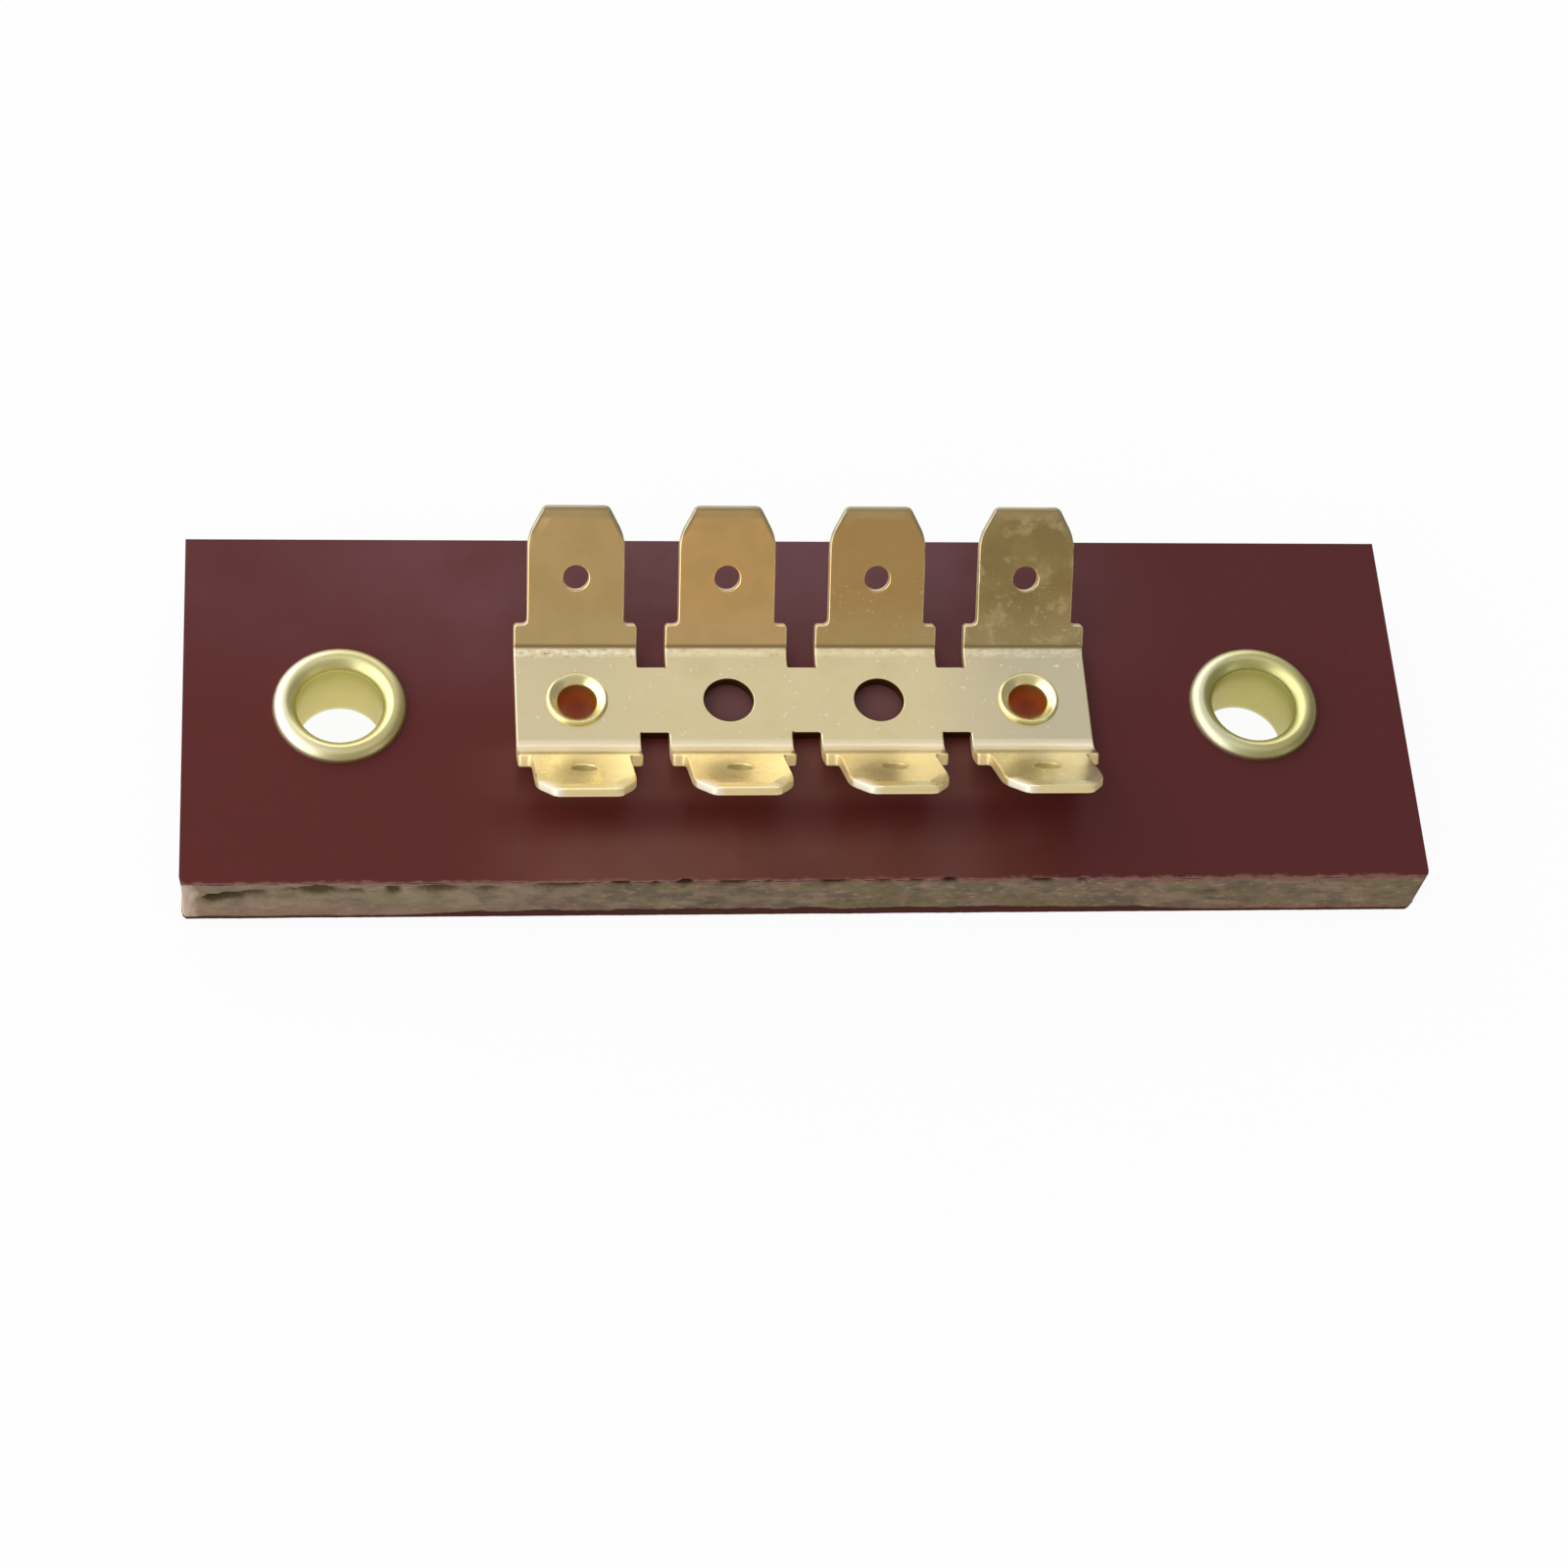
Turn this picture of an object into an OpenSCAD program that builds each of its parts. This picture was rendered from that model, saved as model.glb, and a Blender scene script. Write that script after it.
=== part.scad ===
// Terminal board: a sawn laminate plate that carries one folded brass strip of
// push-on tabs. Two hollow rivets hold the strip, and two brass eyelets line the
// holes for the mounting screws. The board stands on the feet of its eyelets.

/* [Board] */
// Depth of the board, front to back
board_w = 26; // [25:0.5:40]
// Thickness of the board
board_t = 4.5; // [2:0.1:8]
// From the centre of a mounting hole to the end of the board
board_end = 10; // [6:0.5:20]

/* [Mounting eyelets] */
// Distance between the centres of the two mounting holes
mount_spacing = 60; // [54:0.5:100]
// Bore of an eyelet
eyelet_bore_d = 5.5; // [3.5:0.1:6]
// Thickness of an eyelet's metal
eyelet_wall = 0.4; // [0.2:0.05:0.5]
// Outer diameter of the rolled flange on top of the board
eyelet_flange_d = 8.6; // [8:0.1:11]
// Height of the rolled flange above the board
eyelet_flange_h = 0.75; // [0.5:0.05:1.2]
// Outer diameter of the clinched foot under the board
eyelet_foot_d = 8.2; // [7.8:0.1:11]
// Height of the clinched foot below the board
eyelet_foot_h = 0.55; // [0.4:0.05:1]

/* [Terminal strip] */
// Thickness of the brass sheet
sheet_t = 0.8; // [0.5:0.05:1]
// Number of sections, each with a front tab and a rear tab
sections = 4; // [2:1:5]
// Distance from one section to the next
pitch = 9.85; // [8.6:0.05:11]
// Width of a section
section_w = 8; // [6.8:0.1:8.4]
// Depth of the necks that join the sections
neck_w = 5; // [4.2:0.1:5.6]
// Distance between the front and rear fold lines, on the upper face
fold_span = 7.3; // [6.8:0.1:10]
// Inside radius of the folds
fold_r = 1; // [0.4:0.1:1.4]
// Angle by which the tabs are bent up
tab_angle = 45; // [30:1:90]

/* [Tabs] */
// Width of a tab
tab_w = 6.3; // [4.8:0.1:6.6]
// Length of a tab from its shoulders to its tip
tab_l = 7.8; // [6.5:0.1:8.4]
// Length of the full-width shoulders, from the end of the fold
shoulder_l = 1.4; // [0.8:0.1:2.5]
// Radius of the shoulder corners
shoulder_r = 0.3; // [0.1:0.05:0.5]
// Width of the tip between its cut corners
tip_w = 4.2; // [3:0.1:4.6]
// Length of the cut corners along the tab
tip_l = 2; // [1.2:0.1:2.4]
// Rounding at both ends of a cut corner
tip_r = 0.6; // [0.2:0.1:0.8]
// Width of the pressed bevel around the tip
bevel_l = 0.75; // [0.3:0.05:1]
// Depth of the pressed bevel on each face
bevel_d = 0.15; // [0.05:0.01:0.2]
// Diameter of the latch hole in a tab
latch_d = 1.65; // [1.2:0.05:2]
// From the tab's tip to the centre of the latch hole
latch_from_tip = 4.7; // [4:0.1:5]

/* [Strip rivets] */
// Bore of a rivet
rivet_bore_d = 2.5; // [1.6:0.1:2.6]
// Thickness of a rivet's metal
rivet_wall = 0.3; // [0.2:0.05:0.4]
// Outer diameter of the flared lip on top of the strip
rivet_lip_d = 4; // [3.7:0.1:5]
// Height of the flared lip above the strip
rivet_lip_h = 0.3; // [0.2:0.05:0.4]
// Outer diameter of the clinched foot under the board
rivet_foot_d = 4.2; // [3.8:0.1:5]
// Height of the clinched foot below the board
rivet_foot_h = 0.35; // [0.25:0.05:0.4]

/* [Fits] */
// Radial clearance of eyelets and rivets in their holes
fit_gap = 0.05; // [0.02:0.01:0.15]

/* [Hidden] */
$fn = 64;
cut_over = 1;      // how far a cutting tool runs past the face that it cuts
arc_steps = 6;     // straight steps in a rounded corner of a tab

board_l = mount_spacing + 2 * board_end;
board_z = eyelet_foot_h;
board_top = board_z + board_t;
strip_top = board_top + sheet_t;

eyelet_hole_d = eyelet_bore_d + 2 * (eyelet_wall + fit_gap);
rivet_hole_d = rivet_bore_d + 2 * (rivet_wall + fit_gap);
rivet_x = section_x(sections - 1);

fold_y = fold_span / 2 - fold_r * tan(tab_angle / 2);   // where the flat web ends
tip_y = shoulder_l + tab_l;                             // the tip, from the fold's end
tip_slope = atan2((tab_w - tip_w) / 2, tip_l);          // turn of a cut corner's edge
section_gap = pitch - section_w;
strip_l = (sections - 1) * pitch + section_w;

// Place of a section along the strip, the first one on the left
function section_x(i) = (i - (sections - 1) / 2) * pitch;

// Points that round the corner b between the edges to a and to c
function rounded(a, b, c, r) =
    let (
        u = (a - b) / norm(a - b),
        v = (c - b) / norm(c - b),
        half = acos(u * v) / 2,
        centre = b + (u + v) / norm(u + v) * r / sin(half),
        from = b + u * r / tan(half) - centre,
        side = cross(-u, v) > 0 ? 1 : -1
    )
    [for (k = [0 : arc_steps])
        let (t = side * k * (180 - 2 * half) / arc_steps)
        centre + [from.x * cos(t) - from.y * sin(t), from.x * sin(t) + from.y * cos(t)]];

// The right edge of a tab from its shoulder to its tip
function tab_side() =
    let (
        below = [section_w / 2, 0],
        shoulder = [section_w / 2, shoulder_l],
        root = [tab_w / 2, shoulder_l],
        side = [tab_w / 2, tip_y - tip_l],
        tip = [tip_w / 2, tip_y]
    )
    concat(
        rounded(below, shoulder, root, shoulder_r),
        [root],
        rounded(root, side, tip, tip_r),
        rounded(side, tip, [0, tip_y], tip_r)
    );

// Section of a metal rim from r_in to r_out, rounded over at its height
module dome(r_in, r_out, height) {
    width = r_out - r_in;
    round_r = min(height, width / 2);
    translate([r_in, 0])
        intersection() {
            square([width, height]);
            union() {
                for (x = [round_r, width - round_r])
                    translate([x, height - round_r]) circle(round_r);
                if (width > 2 * round_r)
                    translate([round_r, 0]) square([width - 2 * round_r, height]);
                if (height > round_r)
                    square([width, height - round_r]);
            }
        }
}

// Section of a rim that is curled over from sheet, hollow where it is tall enough
module curled_rim(r_in, r_out, height, wall) {
    difference() {
        dome(r_in, r_out, height);
        if (height > wall && r_out - r_in > 2 * wall)
            dome(r_in + wall, r_out - wall, height - wall);
    }
}

// A hollow rivet set through a stack from z_low to z_high, curled over at both ends
module set_tube(bore_d, wall, z_low, z_high, head_d, head_h, foot_d, foot_h) {
    rotate_extrude() {
        translate([bore_d / 2, z_low]) square([wall, z_high - z_low]);
        translate([0, z_high]) curled_rim(bore_d / 2, head_d / 2, head_h, wall);
        translate([0, z_low]) mirror([0, 1]) curled_rim(bore_d / 2, foot_d / 2, foot_h, wall);
    }
}

module mounting_eyelet(x) {
    color([0.82, 0.76, 0.42])
        translate([x, 0, 0])
            set_tube(eyelet_bore_d, eyelet_wall, board_z, board_top,
                     eyelet_flange_d, eyelet_flange_h, eyelet_foot_d, eyelet_foot_h);
}

module strip_rivet(x) {
    color([0.84, 0.74, 0.40])
        translate([x, 0, 0])
            set_tube(rivet_bore_d, rivet_wall, board_z, strip_top,
                     rivet_lip_d, rivet_lip_h, rivet_foot_d, rivet_foot_h);
}

module board_holes() {
    for (x = [-1, 1] * mount_spacing / 2)
        translate([x, 0, board_z - cut_over])
            cylinder(d = eyelet_hole_d, h = board_t + 2 * cut_over);
    for (x = [-1, 1] * rivet_x)
        translate([x, 0, board_z - cut_over])
            cylinder(d = rivet_hole_d, h = board_t + 2 * cut_over);
}

module board() {
    color([0.37, 0.18, 0.17])
        difference() {
            translate([-board_l / 2, -board_w / 2, board_z])
                cube([board_l, board_w, board_t]);
            board_holes();
        }
}

// A cross-section of the space above the strip, at a depth r below the fold centres
module trough(r, reach, over) {
    for (side = [0, 1])
        mirror([side, 0])
            translate([fold_y, 0]) {
                circle(r);
                rotate(tab_angle) translate([0, -r]) square([reach, r + over]);
            }
    translate([-fold_y, -r]) square([2 * fold_y, r + over]);
}

// The folded sheet in cross-section: the web, both folds and both tabs
module folded_section() {
    rise = tip_y * [cos(tab_angle), sin(tab_angle)];
    translate([0, sheet_t + fold_r])
        difference() {
            trough(fold_r + sheet_t, tip_y, 0);
            trough(fold_r, tip_y + cut_over, cut_over);
            polygon([
                [-fold_y, 0], [fold_y, 0],
                [fold_y + rise.x, rise.y + cut_over], [-fold_y - rise.x, rise.y + cut_over]
            ]);
        }
}

// What is cut from one side of a tab, seen flat with the fold's end at y = 0
module side_cut() {
    outer_x = section_w / 2 + section_gap / 2;
    outline = tab_side();
    linear_extrude(sheet_t + 2 * cut_over)
        polygon(concat(
            [[outer_x, outline[0].y]],
            outline,
            [[outline[len(outline) - 1].x, tip_y + cut_over], [outer_x, tip_y + cut_over]]
        ));
}

// What a pressed bevel takes from the lower face, along the edge from a to b.
// The metal lies to the left of the edge, and the bevel runs out past both ends.
module bevel_cut(a, b) {
    run_out = bevel_l / tan(tip_slope) + bevel_l;
    translate([a.x, a.y, 0])
        rotate([0, 0, atan2(b.y - a.y, b.x - a.x)])
            translate([-run_out, 0, 0])
                rotate([90, 0, 90])
                    linear_extrude(norm(b - a) + 2 * run_out)
                        polygon([
                            [bevel_l, -cut_over], [bevel_l, 0],
                            [-bevel_l, 2 * bevel_d], [-bevel_l, -cut_over]
                        ]);
}

// The bevels around the tip, on both faces of the sheet
module tip_bevels() {
    side = [tab_w / 2, tip_y - tip_l];
    tip = [tip_w / 2, tip_y];
    for (face = [0, 1])
        translate([0, 0, face * sheet_t])
            mirror([0, 0, face]) {
                bevel_cut(side, tip);
                bevel_cut(tip, [-tip.x, tip.y]);
                bevel_cut([-tip.x, tip.y], [-side.x, side.y]);
            }
}

// All that is cut from the rear tab of a section, placed on the bent tab
module tab_cuts() {
    translate([0, fold_y, sheet_t + fold_r])
        rotate([tab_angle, 0, 0])
            translate([0, 0, -fold_r - sheet_t]) {
                for (side = [0, 1])
                    mirror([side, 0, 0]) translate([0, 0, -cut_over]) side_cut();
                tip_bevels();
                translate([0, tip_y - latch_from_tip, -cut_over])
                    cylinder(d = latch_d, h = sheet_t + 2 * cut_over);
            }
}

// The slots behind the necks, which part the sections and their tabs
module neck_slots() {
    for (i = [0 : 1 : sections - 2])
        translate([section_x(i) + section_w / 2, neck_w / 2, -cut_over])
            cube([section_gap, fold_span + tip_y, sheet_t + tip_y + 2 * cut_over]);
}

module terminal_strip() {
    color([0.80, 0.72, 0.50])
        translate([0, 0, board_top])
            difference() {
                rotate([90, 0, 90]) linear_extrude(strip_l, center = true) folded_section();
                for (side = [0, 1])
                    mirror([0, side, 0]) {
                        neck_slots();
                        for (i = [0 : sections - 1])
                            translate([section_x(i), 0, 0]) tab_cuts();
                    }
                for (i = [0 : sections - 1])
                    translate([section_x(i), 0, -cut_over])
                        cylinder(d = rivet_hole_d, h = sheet_t + 2 * cut_over);
            }
}

module mounting_eyelet_left() { mounting_eyelet(-mount_spacing / 2); }
module mounting_eyelet_right() { mounting_eyelet(mount_spacing / 2); }
module strip_rivet_left() { strip_rivet(-rivet_x); }
module strip_rivet_right() { strip_rivet(rivet_x); }

board();
terminal_strip();
mounting_eyelet_left();
mounting_eyelet_right();
strip_rivet_left();
strip_rivet_right();
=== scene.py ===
# %% [markdown]
# # A terminal board with push-on tabs
# The real object is a red laminate plate with sawn edges. A folded brass strip with eight push-on tabs
# is riveted to its middle, and a brass eyelet lines the mounting hole at each end. The CAD model of all
# six pieces is loaded first as a fixed frame. Every piece that this lesson models stands in the place
# of one CAD node, so nothing has to be fitted by eye. The size of the CAD box is printed here, and the
# size of the finished model at the end.

import math
import random

import bmesh
import bpy
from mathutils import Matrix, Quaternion, Vector


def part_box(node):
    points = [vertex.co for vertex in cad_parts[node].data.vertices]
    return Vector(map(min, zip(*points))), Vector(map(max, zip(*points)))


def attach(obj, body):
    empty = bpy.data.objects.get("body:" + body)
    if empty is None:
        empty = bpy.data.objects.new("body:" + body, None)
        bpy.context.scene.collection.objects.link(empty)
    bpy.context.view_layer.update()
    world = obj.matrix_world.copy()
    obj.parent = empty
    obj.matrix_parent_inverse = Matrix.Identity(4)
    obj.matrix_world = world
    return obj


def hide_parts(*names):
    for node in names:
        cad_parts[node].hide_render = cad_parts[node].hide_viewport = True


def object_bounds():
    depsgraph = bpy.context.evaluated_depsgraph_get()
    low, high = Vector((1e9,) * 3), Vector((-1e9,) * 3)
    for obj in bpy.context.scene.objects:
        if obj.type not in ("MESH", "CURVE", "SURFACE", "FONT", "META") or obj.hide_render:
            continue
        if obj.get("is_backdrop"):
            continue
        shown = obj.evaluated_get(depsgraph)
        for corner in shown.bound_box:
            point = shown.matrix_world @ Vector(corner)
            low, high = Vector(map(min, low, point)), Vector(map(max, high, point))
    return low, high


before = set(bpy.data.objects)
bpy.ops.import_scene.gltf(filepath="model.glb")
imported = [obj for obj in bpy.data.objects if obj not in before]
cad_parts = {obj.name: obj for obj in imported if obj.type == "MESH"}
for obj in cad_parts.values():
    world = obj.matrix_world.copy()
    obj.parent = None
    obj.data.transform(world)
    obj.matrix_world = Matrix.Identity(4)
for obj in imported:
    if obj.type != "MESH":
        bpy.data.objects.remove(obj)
cad_low, cad_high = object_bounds()
MM = 0.001


def in_mm(sides):
    """Lengths in metres as rounded millimetres, for printing."""
    return [round(side / MM, 3) for side in sides]


print("nodes:", sorted(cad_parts), "CAD size in mm:", in_mm(cad_high - cad_low))

# %% [markdown]
# ## Camera
# The photograph looks down on the board from the front, a little from the left, with the camera tipped
# to one side. A camera could be turned by hand until it looks right. Here its angles and focal length
# come from the board's own corners: for a plate of a known size, four corners in a picture leave only
# one place for the camera.

# %% Place the camera
PHOTO_PX = 1600
FOCAL_PX = 3841.2
SENSOR_MM = 36.0
VIEW_TURN = math.radians(-13.229)
VIEW_ELEVATION = math.radians(58.526)
VIEW_ROLL = math.radians(11.121)
VIEW_DISTANCE = 242.22 * MM
NEAR_CLIP = 10 * MM

board_low, board_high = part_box("board")
AIM = Vector((-1.63 * MM, -5.90 * MM, board_high.z))


def look_direction(turn, elevation):
    """Which way a camera looks that stands in front of the board, turned about the vertical and raised."""
    level = Vector((-math.sin(turn), math.cos(turn), 0))
    return level * math.cos(elevation) - Vector((0, 0, math.sin(elevation)))


def place_camera():
    looks = look_direction(VIEW_TURN, VIEW_ELEVATION)
    lens = bpy.data.cameras.new("photo_camera")
    lens.sensor_width = SENSOR_MM
    lens.lens = FOCAL_PX / PHOTO_PX * SENSOR_MM
    lens.clip_start = NEAR_CLIP
    camera = bpy.data.objects.new("photo_camera", lens)
    camera.location = AIM - looks * VIEW_DISTANCE
    camera.rotation_mode = "QUATERNION"
    camera.rotation_quaternion = looks.to_track_quat("-Z", "Y") @ Quaternion((0, 0, 1), VIEW_ROLL)
    bpy.context.scene.collection.objects.link(camera)
    bpy.context.scene.camera = camera
    return camera


camera = place_camera()
bpy.context.scene.view_settings.view_transform = "Standard"
print("camera at", in_mm(camera.location), "mm, lens", round(camera.data.lens, 2), "mm")

# %% [markdown]
# ## Floor, light and cards
# Polished brass has almost no colour of its own to show: it shows the room. A product photographer
# therefore lights it with large soft lamps and stands grey cards where a reflection should be dark. The
# floor and the surround are white to the camera and to reflections, through the Light Path node, while
# the lamps stay at a plain level. The cards here are seen by reflections only, so they dim nothing
# else.

# %% Nodes by name
def node(tree, kind, settings=None, **sockets):
    """Adds one shader node. A socket takes a plain value, or another node's output, which is linked to it."""
    made = tree.nodes.new("ShaderNode" + kind)
    for name, value in (settings or {}).items():
        setattr(made, name, value)
    for name, value in sockets.items():
        feed(tree, made.inputs[name.replace("_", " ")], value)
    return made


def feed(tree, socket, value):
    if isinstance(value, bpy.types.NodeSocket):
        tree.links.new(value, socket)
    else:
        socket.default_value = value


def calculate(tree, operation, first, second=0.0):
    """One Math node, as an output."""
    made = node(tree, "Math", {"operation": operation})
    feed(tree, made.inputs[0], first)
    feed(tree, made.inputs[1], second)
    return made.outputs[0]


def chain(tree, operation, first, *others):
    """One operation on several values in turn."""
    for other in others:
        first = calculate(tree, operation, first, other)
    return first


def times(tree, *values):
    return chain(tree, "MULTIPLY", *values)


def plus(tree, *values):
    return chain(tree, "ADD", *values)


def largest(tree, *values):
    return chain(tree, "MAXIMUM", *values)


# %% Trees for the surroundings
def bare_tree(owner):
    """The empty node tree of a new material or world."""
    owner.use_nodes = True
    owner.node_tree.nodes.clear()
    return owner.node_tree


def mix_shaders(tree, share, first, second):
    both = node(tree, "MixShader", Fac=share)
    tree.links.new(first.outputs[0], both.inputs[1])
    tree.links.new(second.outputs[0], both.inputs[2])
    return both


def show(tree, output, shader):
    tree.links.new(shader.outputs[0], node(tree, output).inputs["Surface"])


def seen_directly(tree):
    """1 for rays from the camera, off shiny things or through glass, and 0 for light that falls on things."""
    rays = node(tree, "LightPath").outputs
    shiny = largest(tree, rays["Is Glossy Ray"], rays["Is Transmission Ray"])
    return largest(tree, rays["Is Camera Ray"], shiny)


# %% White surround
WHITE = (1, 1, 1, 1)
SURROUND_LIGHT = 0.56


def white_surround():
    world = bpy.data.worlds.new("white_surround")
    tree = bare_tree(world)
    light = node(tree, "Background", Color=WHITE, Strength=SURROUND_LIGHT)
    backdrop = node(tree, "Background", Color=WHITE, Strength=1.0)
    show(tree, "OutputWorld", mix_shaders(tree, seen_directly(tree), light, backdrop))
    bpy.context.scene.world = world


white_surround()
print("surround lights the board at", SURROUND_LIGHT)

# %% Floor
FLOOR_SIZE = 4.0
FLOOR_COLOUR = (0.86, 0.86, 0.86, 1)
FLOOR_GLOW = 0.95


def clear_selection():
    if bpy.context.mode != "OBJECT":
        bpy.ops.object.mode_set(mode="OBJECT")
    bpy.ops.object.select_all(action="DESELECT")


def floor_finish():
    """Matt white that glows where it is looked at, so that it reads white and keeps a soft shadow."""
    material = bpy.data.materials.new("white_floor")
    tree = bare_tree(material)
    matt = node(tree, "BsdfDiffuse", Color=FLOOR_COLOUR)
    glow = node(tree, "Emission", Color=WHITE, Strength=1.0)
    share = times(tree, seen_directly(tree), FLOOR_GLOW)
    show(tree, "OutputMaterial", mix_shaders(tree, share, matt, glow))
    return material


def lay_floor():
    clear_selection()
    bpy.ops.mesh.primitive_plane_add(size=FLOOR_SIZE)
    floor = bpy.context.object
    floor.name = "floor"
    floor.data.materials.append(floor_finish())
    floor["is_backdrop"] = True


lay_floor()
print("floor:", FLOOR_SIZE, "m square")

# %% Lamps and grey cards
def point_at_board(thing):
    thing.rotation_mode = "QUATERNION"
    thing.rotation_quaternion = (AIM - thing.location).to_track_quat("-Z", "Y")


def soft_lamp(name, place, width, height, watts):
    """A large rectangular lamp that faces the board."""
    lamp = bpy.data.lights.new(name, "AREA")
    lamp.shape = "RECTANGLE"
    lamp.size = width
    lamp.size_y = height
    lamp.energy = watts
    box = bpy.data.objects.new(name, lamp)
    box.location = place
    box.visible_camera = False
    bpy.context.scene.collection.objects.link(box)
    point_at_board(box)


def grey_card(name, place, width, height, shade):
    """A card that only reflections see, as bright as its shade."""
    clear_selection()
    bpy.ops.mesh.primitive_plane_add(size=1, location=place)
    card = bpy.context.object
    card.name = name
    card.scale = (width, height, 1)
    point_at_board(card)
    material = bpy.data.materials.new(name)
    tree = bare_tree(material)
    show(tree, "OutputMaterial", node(tree, "Emission", Color=shade, Strength=1.0))
    card.data.materials.append(material)
    for rays in ("camera", "diffuse", "transmission", "volume_scatter", "shadow"):
        setattr(card, "visible_" + rays, False)
    card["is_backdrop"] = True


soft_lamp("left_softbox", (-0.57, -0.03, 0.32), width=1.90, height=0.72, watts=5.2)
soft_lamp("back_softbox", (-0.15, 0.75, 0.42), width=1.10, height=0.42, watts=1.6)
grey_card("front_card", (0.05, -0.66, 0.46), width=1.20, height=0.95, shade=(0.50, 0.46, 0.40, 1))
grey_card("right_card", (0.72, 0.15, 0.38), width=1.40, height=0.80, shade=(0.30, 0.29, 0.27, 1))
grey_card("top_card", (0.05, 0.33, 0.75), width=0.90, height=0.70, shade=(0.73, 0.72, 0.70, 1))

# %% [markdown]
# ## How the pieces are modelled
# Modelling by hand in Blender is always the same round: open a mesh in edit mode, select some faces or
# edges, and run an operator on what is selected. A script has no mouse, so a small helper selects by
# place instead. The sizes below are the ones that the CAD model was drawn with, and the places come
# from the frame's boxes.

# %% Select by place
TINY = 0.001 * MM
PARALLEL = 0.999


def select_only(piece):
    clear_selection()
    piece.select_set(True)
    bpy.context.view_layer.objects.active = piece


def edit(piece):
    """Opens one piece in edit mode with nothing selected."""
    select_only(piece)
    bpy.ops.object.mode_set(mode="EDIT")
    bpy.ops.mesh.select_mode(type="EDGE")
    bpy.ops.mesh.select_all(action="DESELECT")


def pick(piece, kind, test):
    """Selects the vertices, edges or faces that pass a test, and returns how many they are."""
    bpy.ops.mesh.select_mode(type=kind)
    bpy.ops.mesh.select_all(action="DESELECT")
    mesh = bmesh.from_edit_mesh(piece.data)
    items = {"VERT": mesh.verts, "EDGE": mesh.edges, "FACE": mesh.faces}[kind]
    chosen = [item for item in items if test(item)]
    for item in chosen:
        item.select_set(True)
    bmesh.update_edit_mesh(piece.data)
    return len(chosen)


def turn_outwards():
    """Makes all faces of the piece that is being edited point outwards."""
    bpy.ops.mesh.select_all(action="SELECT")
    bpy.ops.mesh.normals_make_consistent(inside=False)


def middle(edge):
    return (edge.verts[0].co + edge.verts[1].co) / 2


def runs_along(edge, axis):
    """Whether an edge is parallel to an axis: 0 is X, 1 is Y and 2 is Z."""
    return abs((edge.verts[1].co - edge.verts[0].co).normalized()[axis]) > PARALLEL


# %% Finish a mesh
HOLE_SIDES = 64


def apply_place(piece):
    """Puts a piece's place, turn and size into its mesh, so that its object sits at the origin."""
    select_only(piece)
    bpy.ops.object.transform_apply(location=True, rotation=True, scale=True)


def apply_modifier(piece, kind, **settings):
    select_only(piece)
    modifier = piece.modifiers.new(kind.lower(), kind)
    for name, value in settings.items():
        setattr(modifier, name, value)
    bpy.ops.object.modifier_apply(modifier=modifier.name)


def smooth(piece, angle):
    """Shades a piece smooth, except over edges that turn by more than an angle in degrees."""
    select_only(piece)
    bpy.ops.object.shade_smooth_by_angle(angle=math.radians(angle), keep_sharp_edges=True)


def report(piece):
    """Prints a piece's size, its number of triangles and how many of its edges are open."""
    mesh = bmesh.new()
    mesh.from_mesh(piece.data)
    open_edges = sum(not edge.is_manifold for edge in mesh.edges)
    low, high = [[end(v.co[i] for v in mesh.verts) for i in range(3)] for end in (min, max)]
    size = in_mm(b - a for a, b in zip(low, high))
    triangles = sum(len(face.verts) - 2 for face in mesh.faces)
    print(piece.name, "size mm", size, "triangles", triangles, "open edges", open_edges)
    mesh.free()


def drill(piece, x, y, radius, low, high, sides=HOLE_SIDES):
    """Cuts a round hole along Z, as a Boolean with a cylinder."""
    clear_selection()
    place = (x, y, (low + high) / 2)
    bpy.ops.mesh.primitive_cylinder_add(vertices=sides, radius=radius, depth=high - low, location=place)
    cutter = bpy.context.object
    apply_modifier(piece, "BOOLEAN", operation="DIFFERENCE", solver="EXACT", object=cutter)
    bpy.data.objects.remove(cutter)


# %% [markdown]
# ## The board
# The plate is pressed from red laminate and then sawn, so its faces are smooth and its edges are rough:
# tan fibres with torn pits, under a thin red skin that chips along the saw line. A plain box with a
# bump map would stay straight along its outline. Here the edges get rows of real vertices, which are
# then pressed in, chipped and roughened. Everything moves inwards, so the board never grows past its
# CAD box.

# %% Board blank
RIM = 0.7 * MM
FLAT = 0.9

half_length = board_high.x
half_width = board_high.y
board_top = board_high.z
board_under = board_low.z


def board_blank():
    """A box with a narrow rim round its two faces. The faces inside the rims are left open for now."""
    clear_selection()
    bpy.ops.mesh.primitive_cube_add(size=1, location=(board_low + board_high) / 2)
    board = bpy.context.object
    board.name = "laminate_board"
    board.scale = board_high - board_low
    apply_place(board)
    edit(board)
    pick(board, "FACE", lambda face: abs(face.normal.z) > FLAT)
    bpy.ops.mesh.inset(thickness=RIM, use_even_offset=True)
    bpy.ops.mesh.delete(type="ONLY_FACE")
    return board


board = board_blank()
report(board)

# %% Rows of vertices round the board's edges
GRAIN = 0.22 * MM
MOST_CUTS = 50


def on_rim(point, axis):
    """Whether a point lies in the outer band of the board that runs along an axis."""
    across = 1 - axis
    limit = (half_length, half_width)[across] - RIM
    return abs(point[across]) > limit - TINY


def cut_in_rows(piece, axis, length, test):
    """Subdivides the edges along an axis until the pieces are about as long as the grain."""
    first = min(MOST_CUTS, round(math.sqrt(length / GRAIN)))
    second = round(length / GRAIN / first)
    for parts in (first, second):
        if parts > 1:
            pick(piece, "EDGE", lambda edge: runs_along(edge, axis) and test(middle(edge)))
            bpy.ops.mesh.subdivide(number_cuts=parts - 1)


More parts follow.
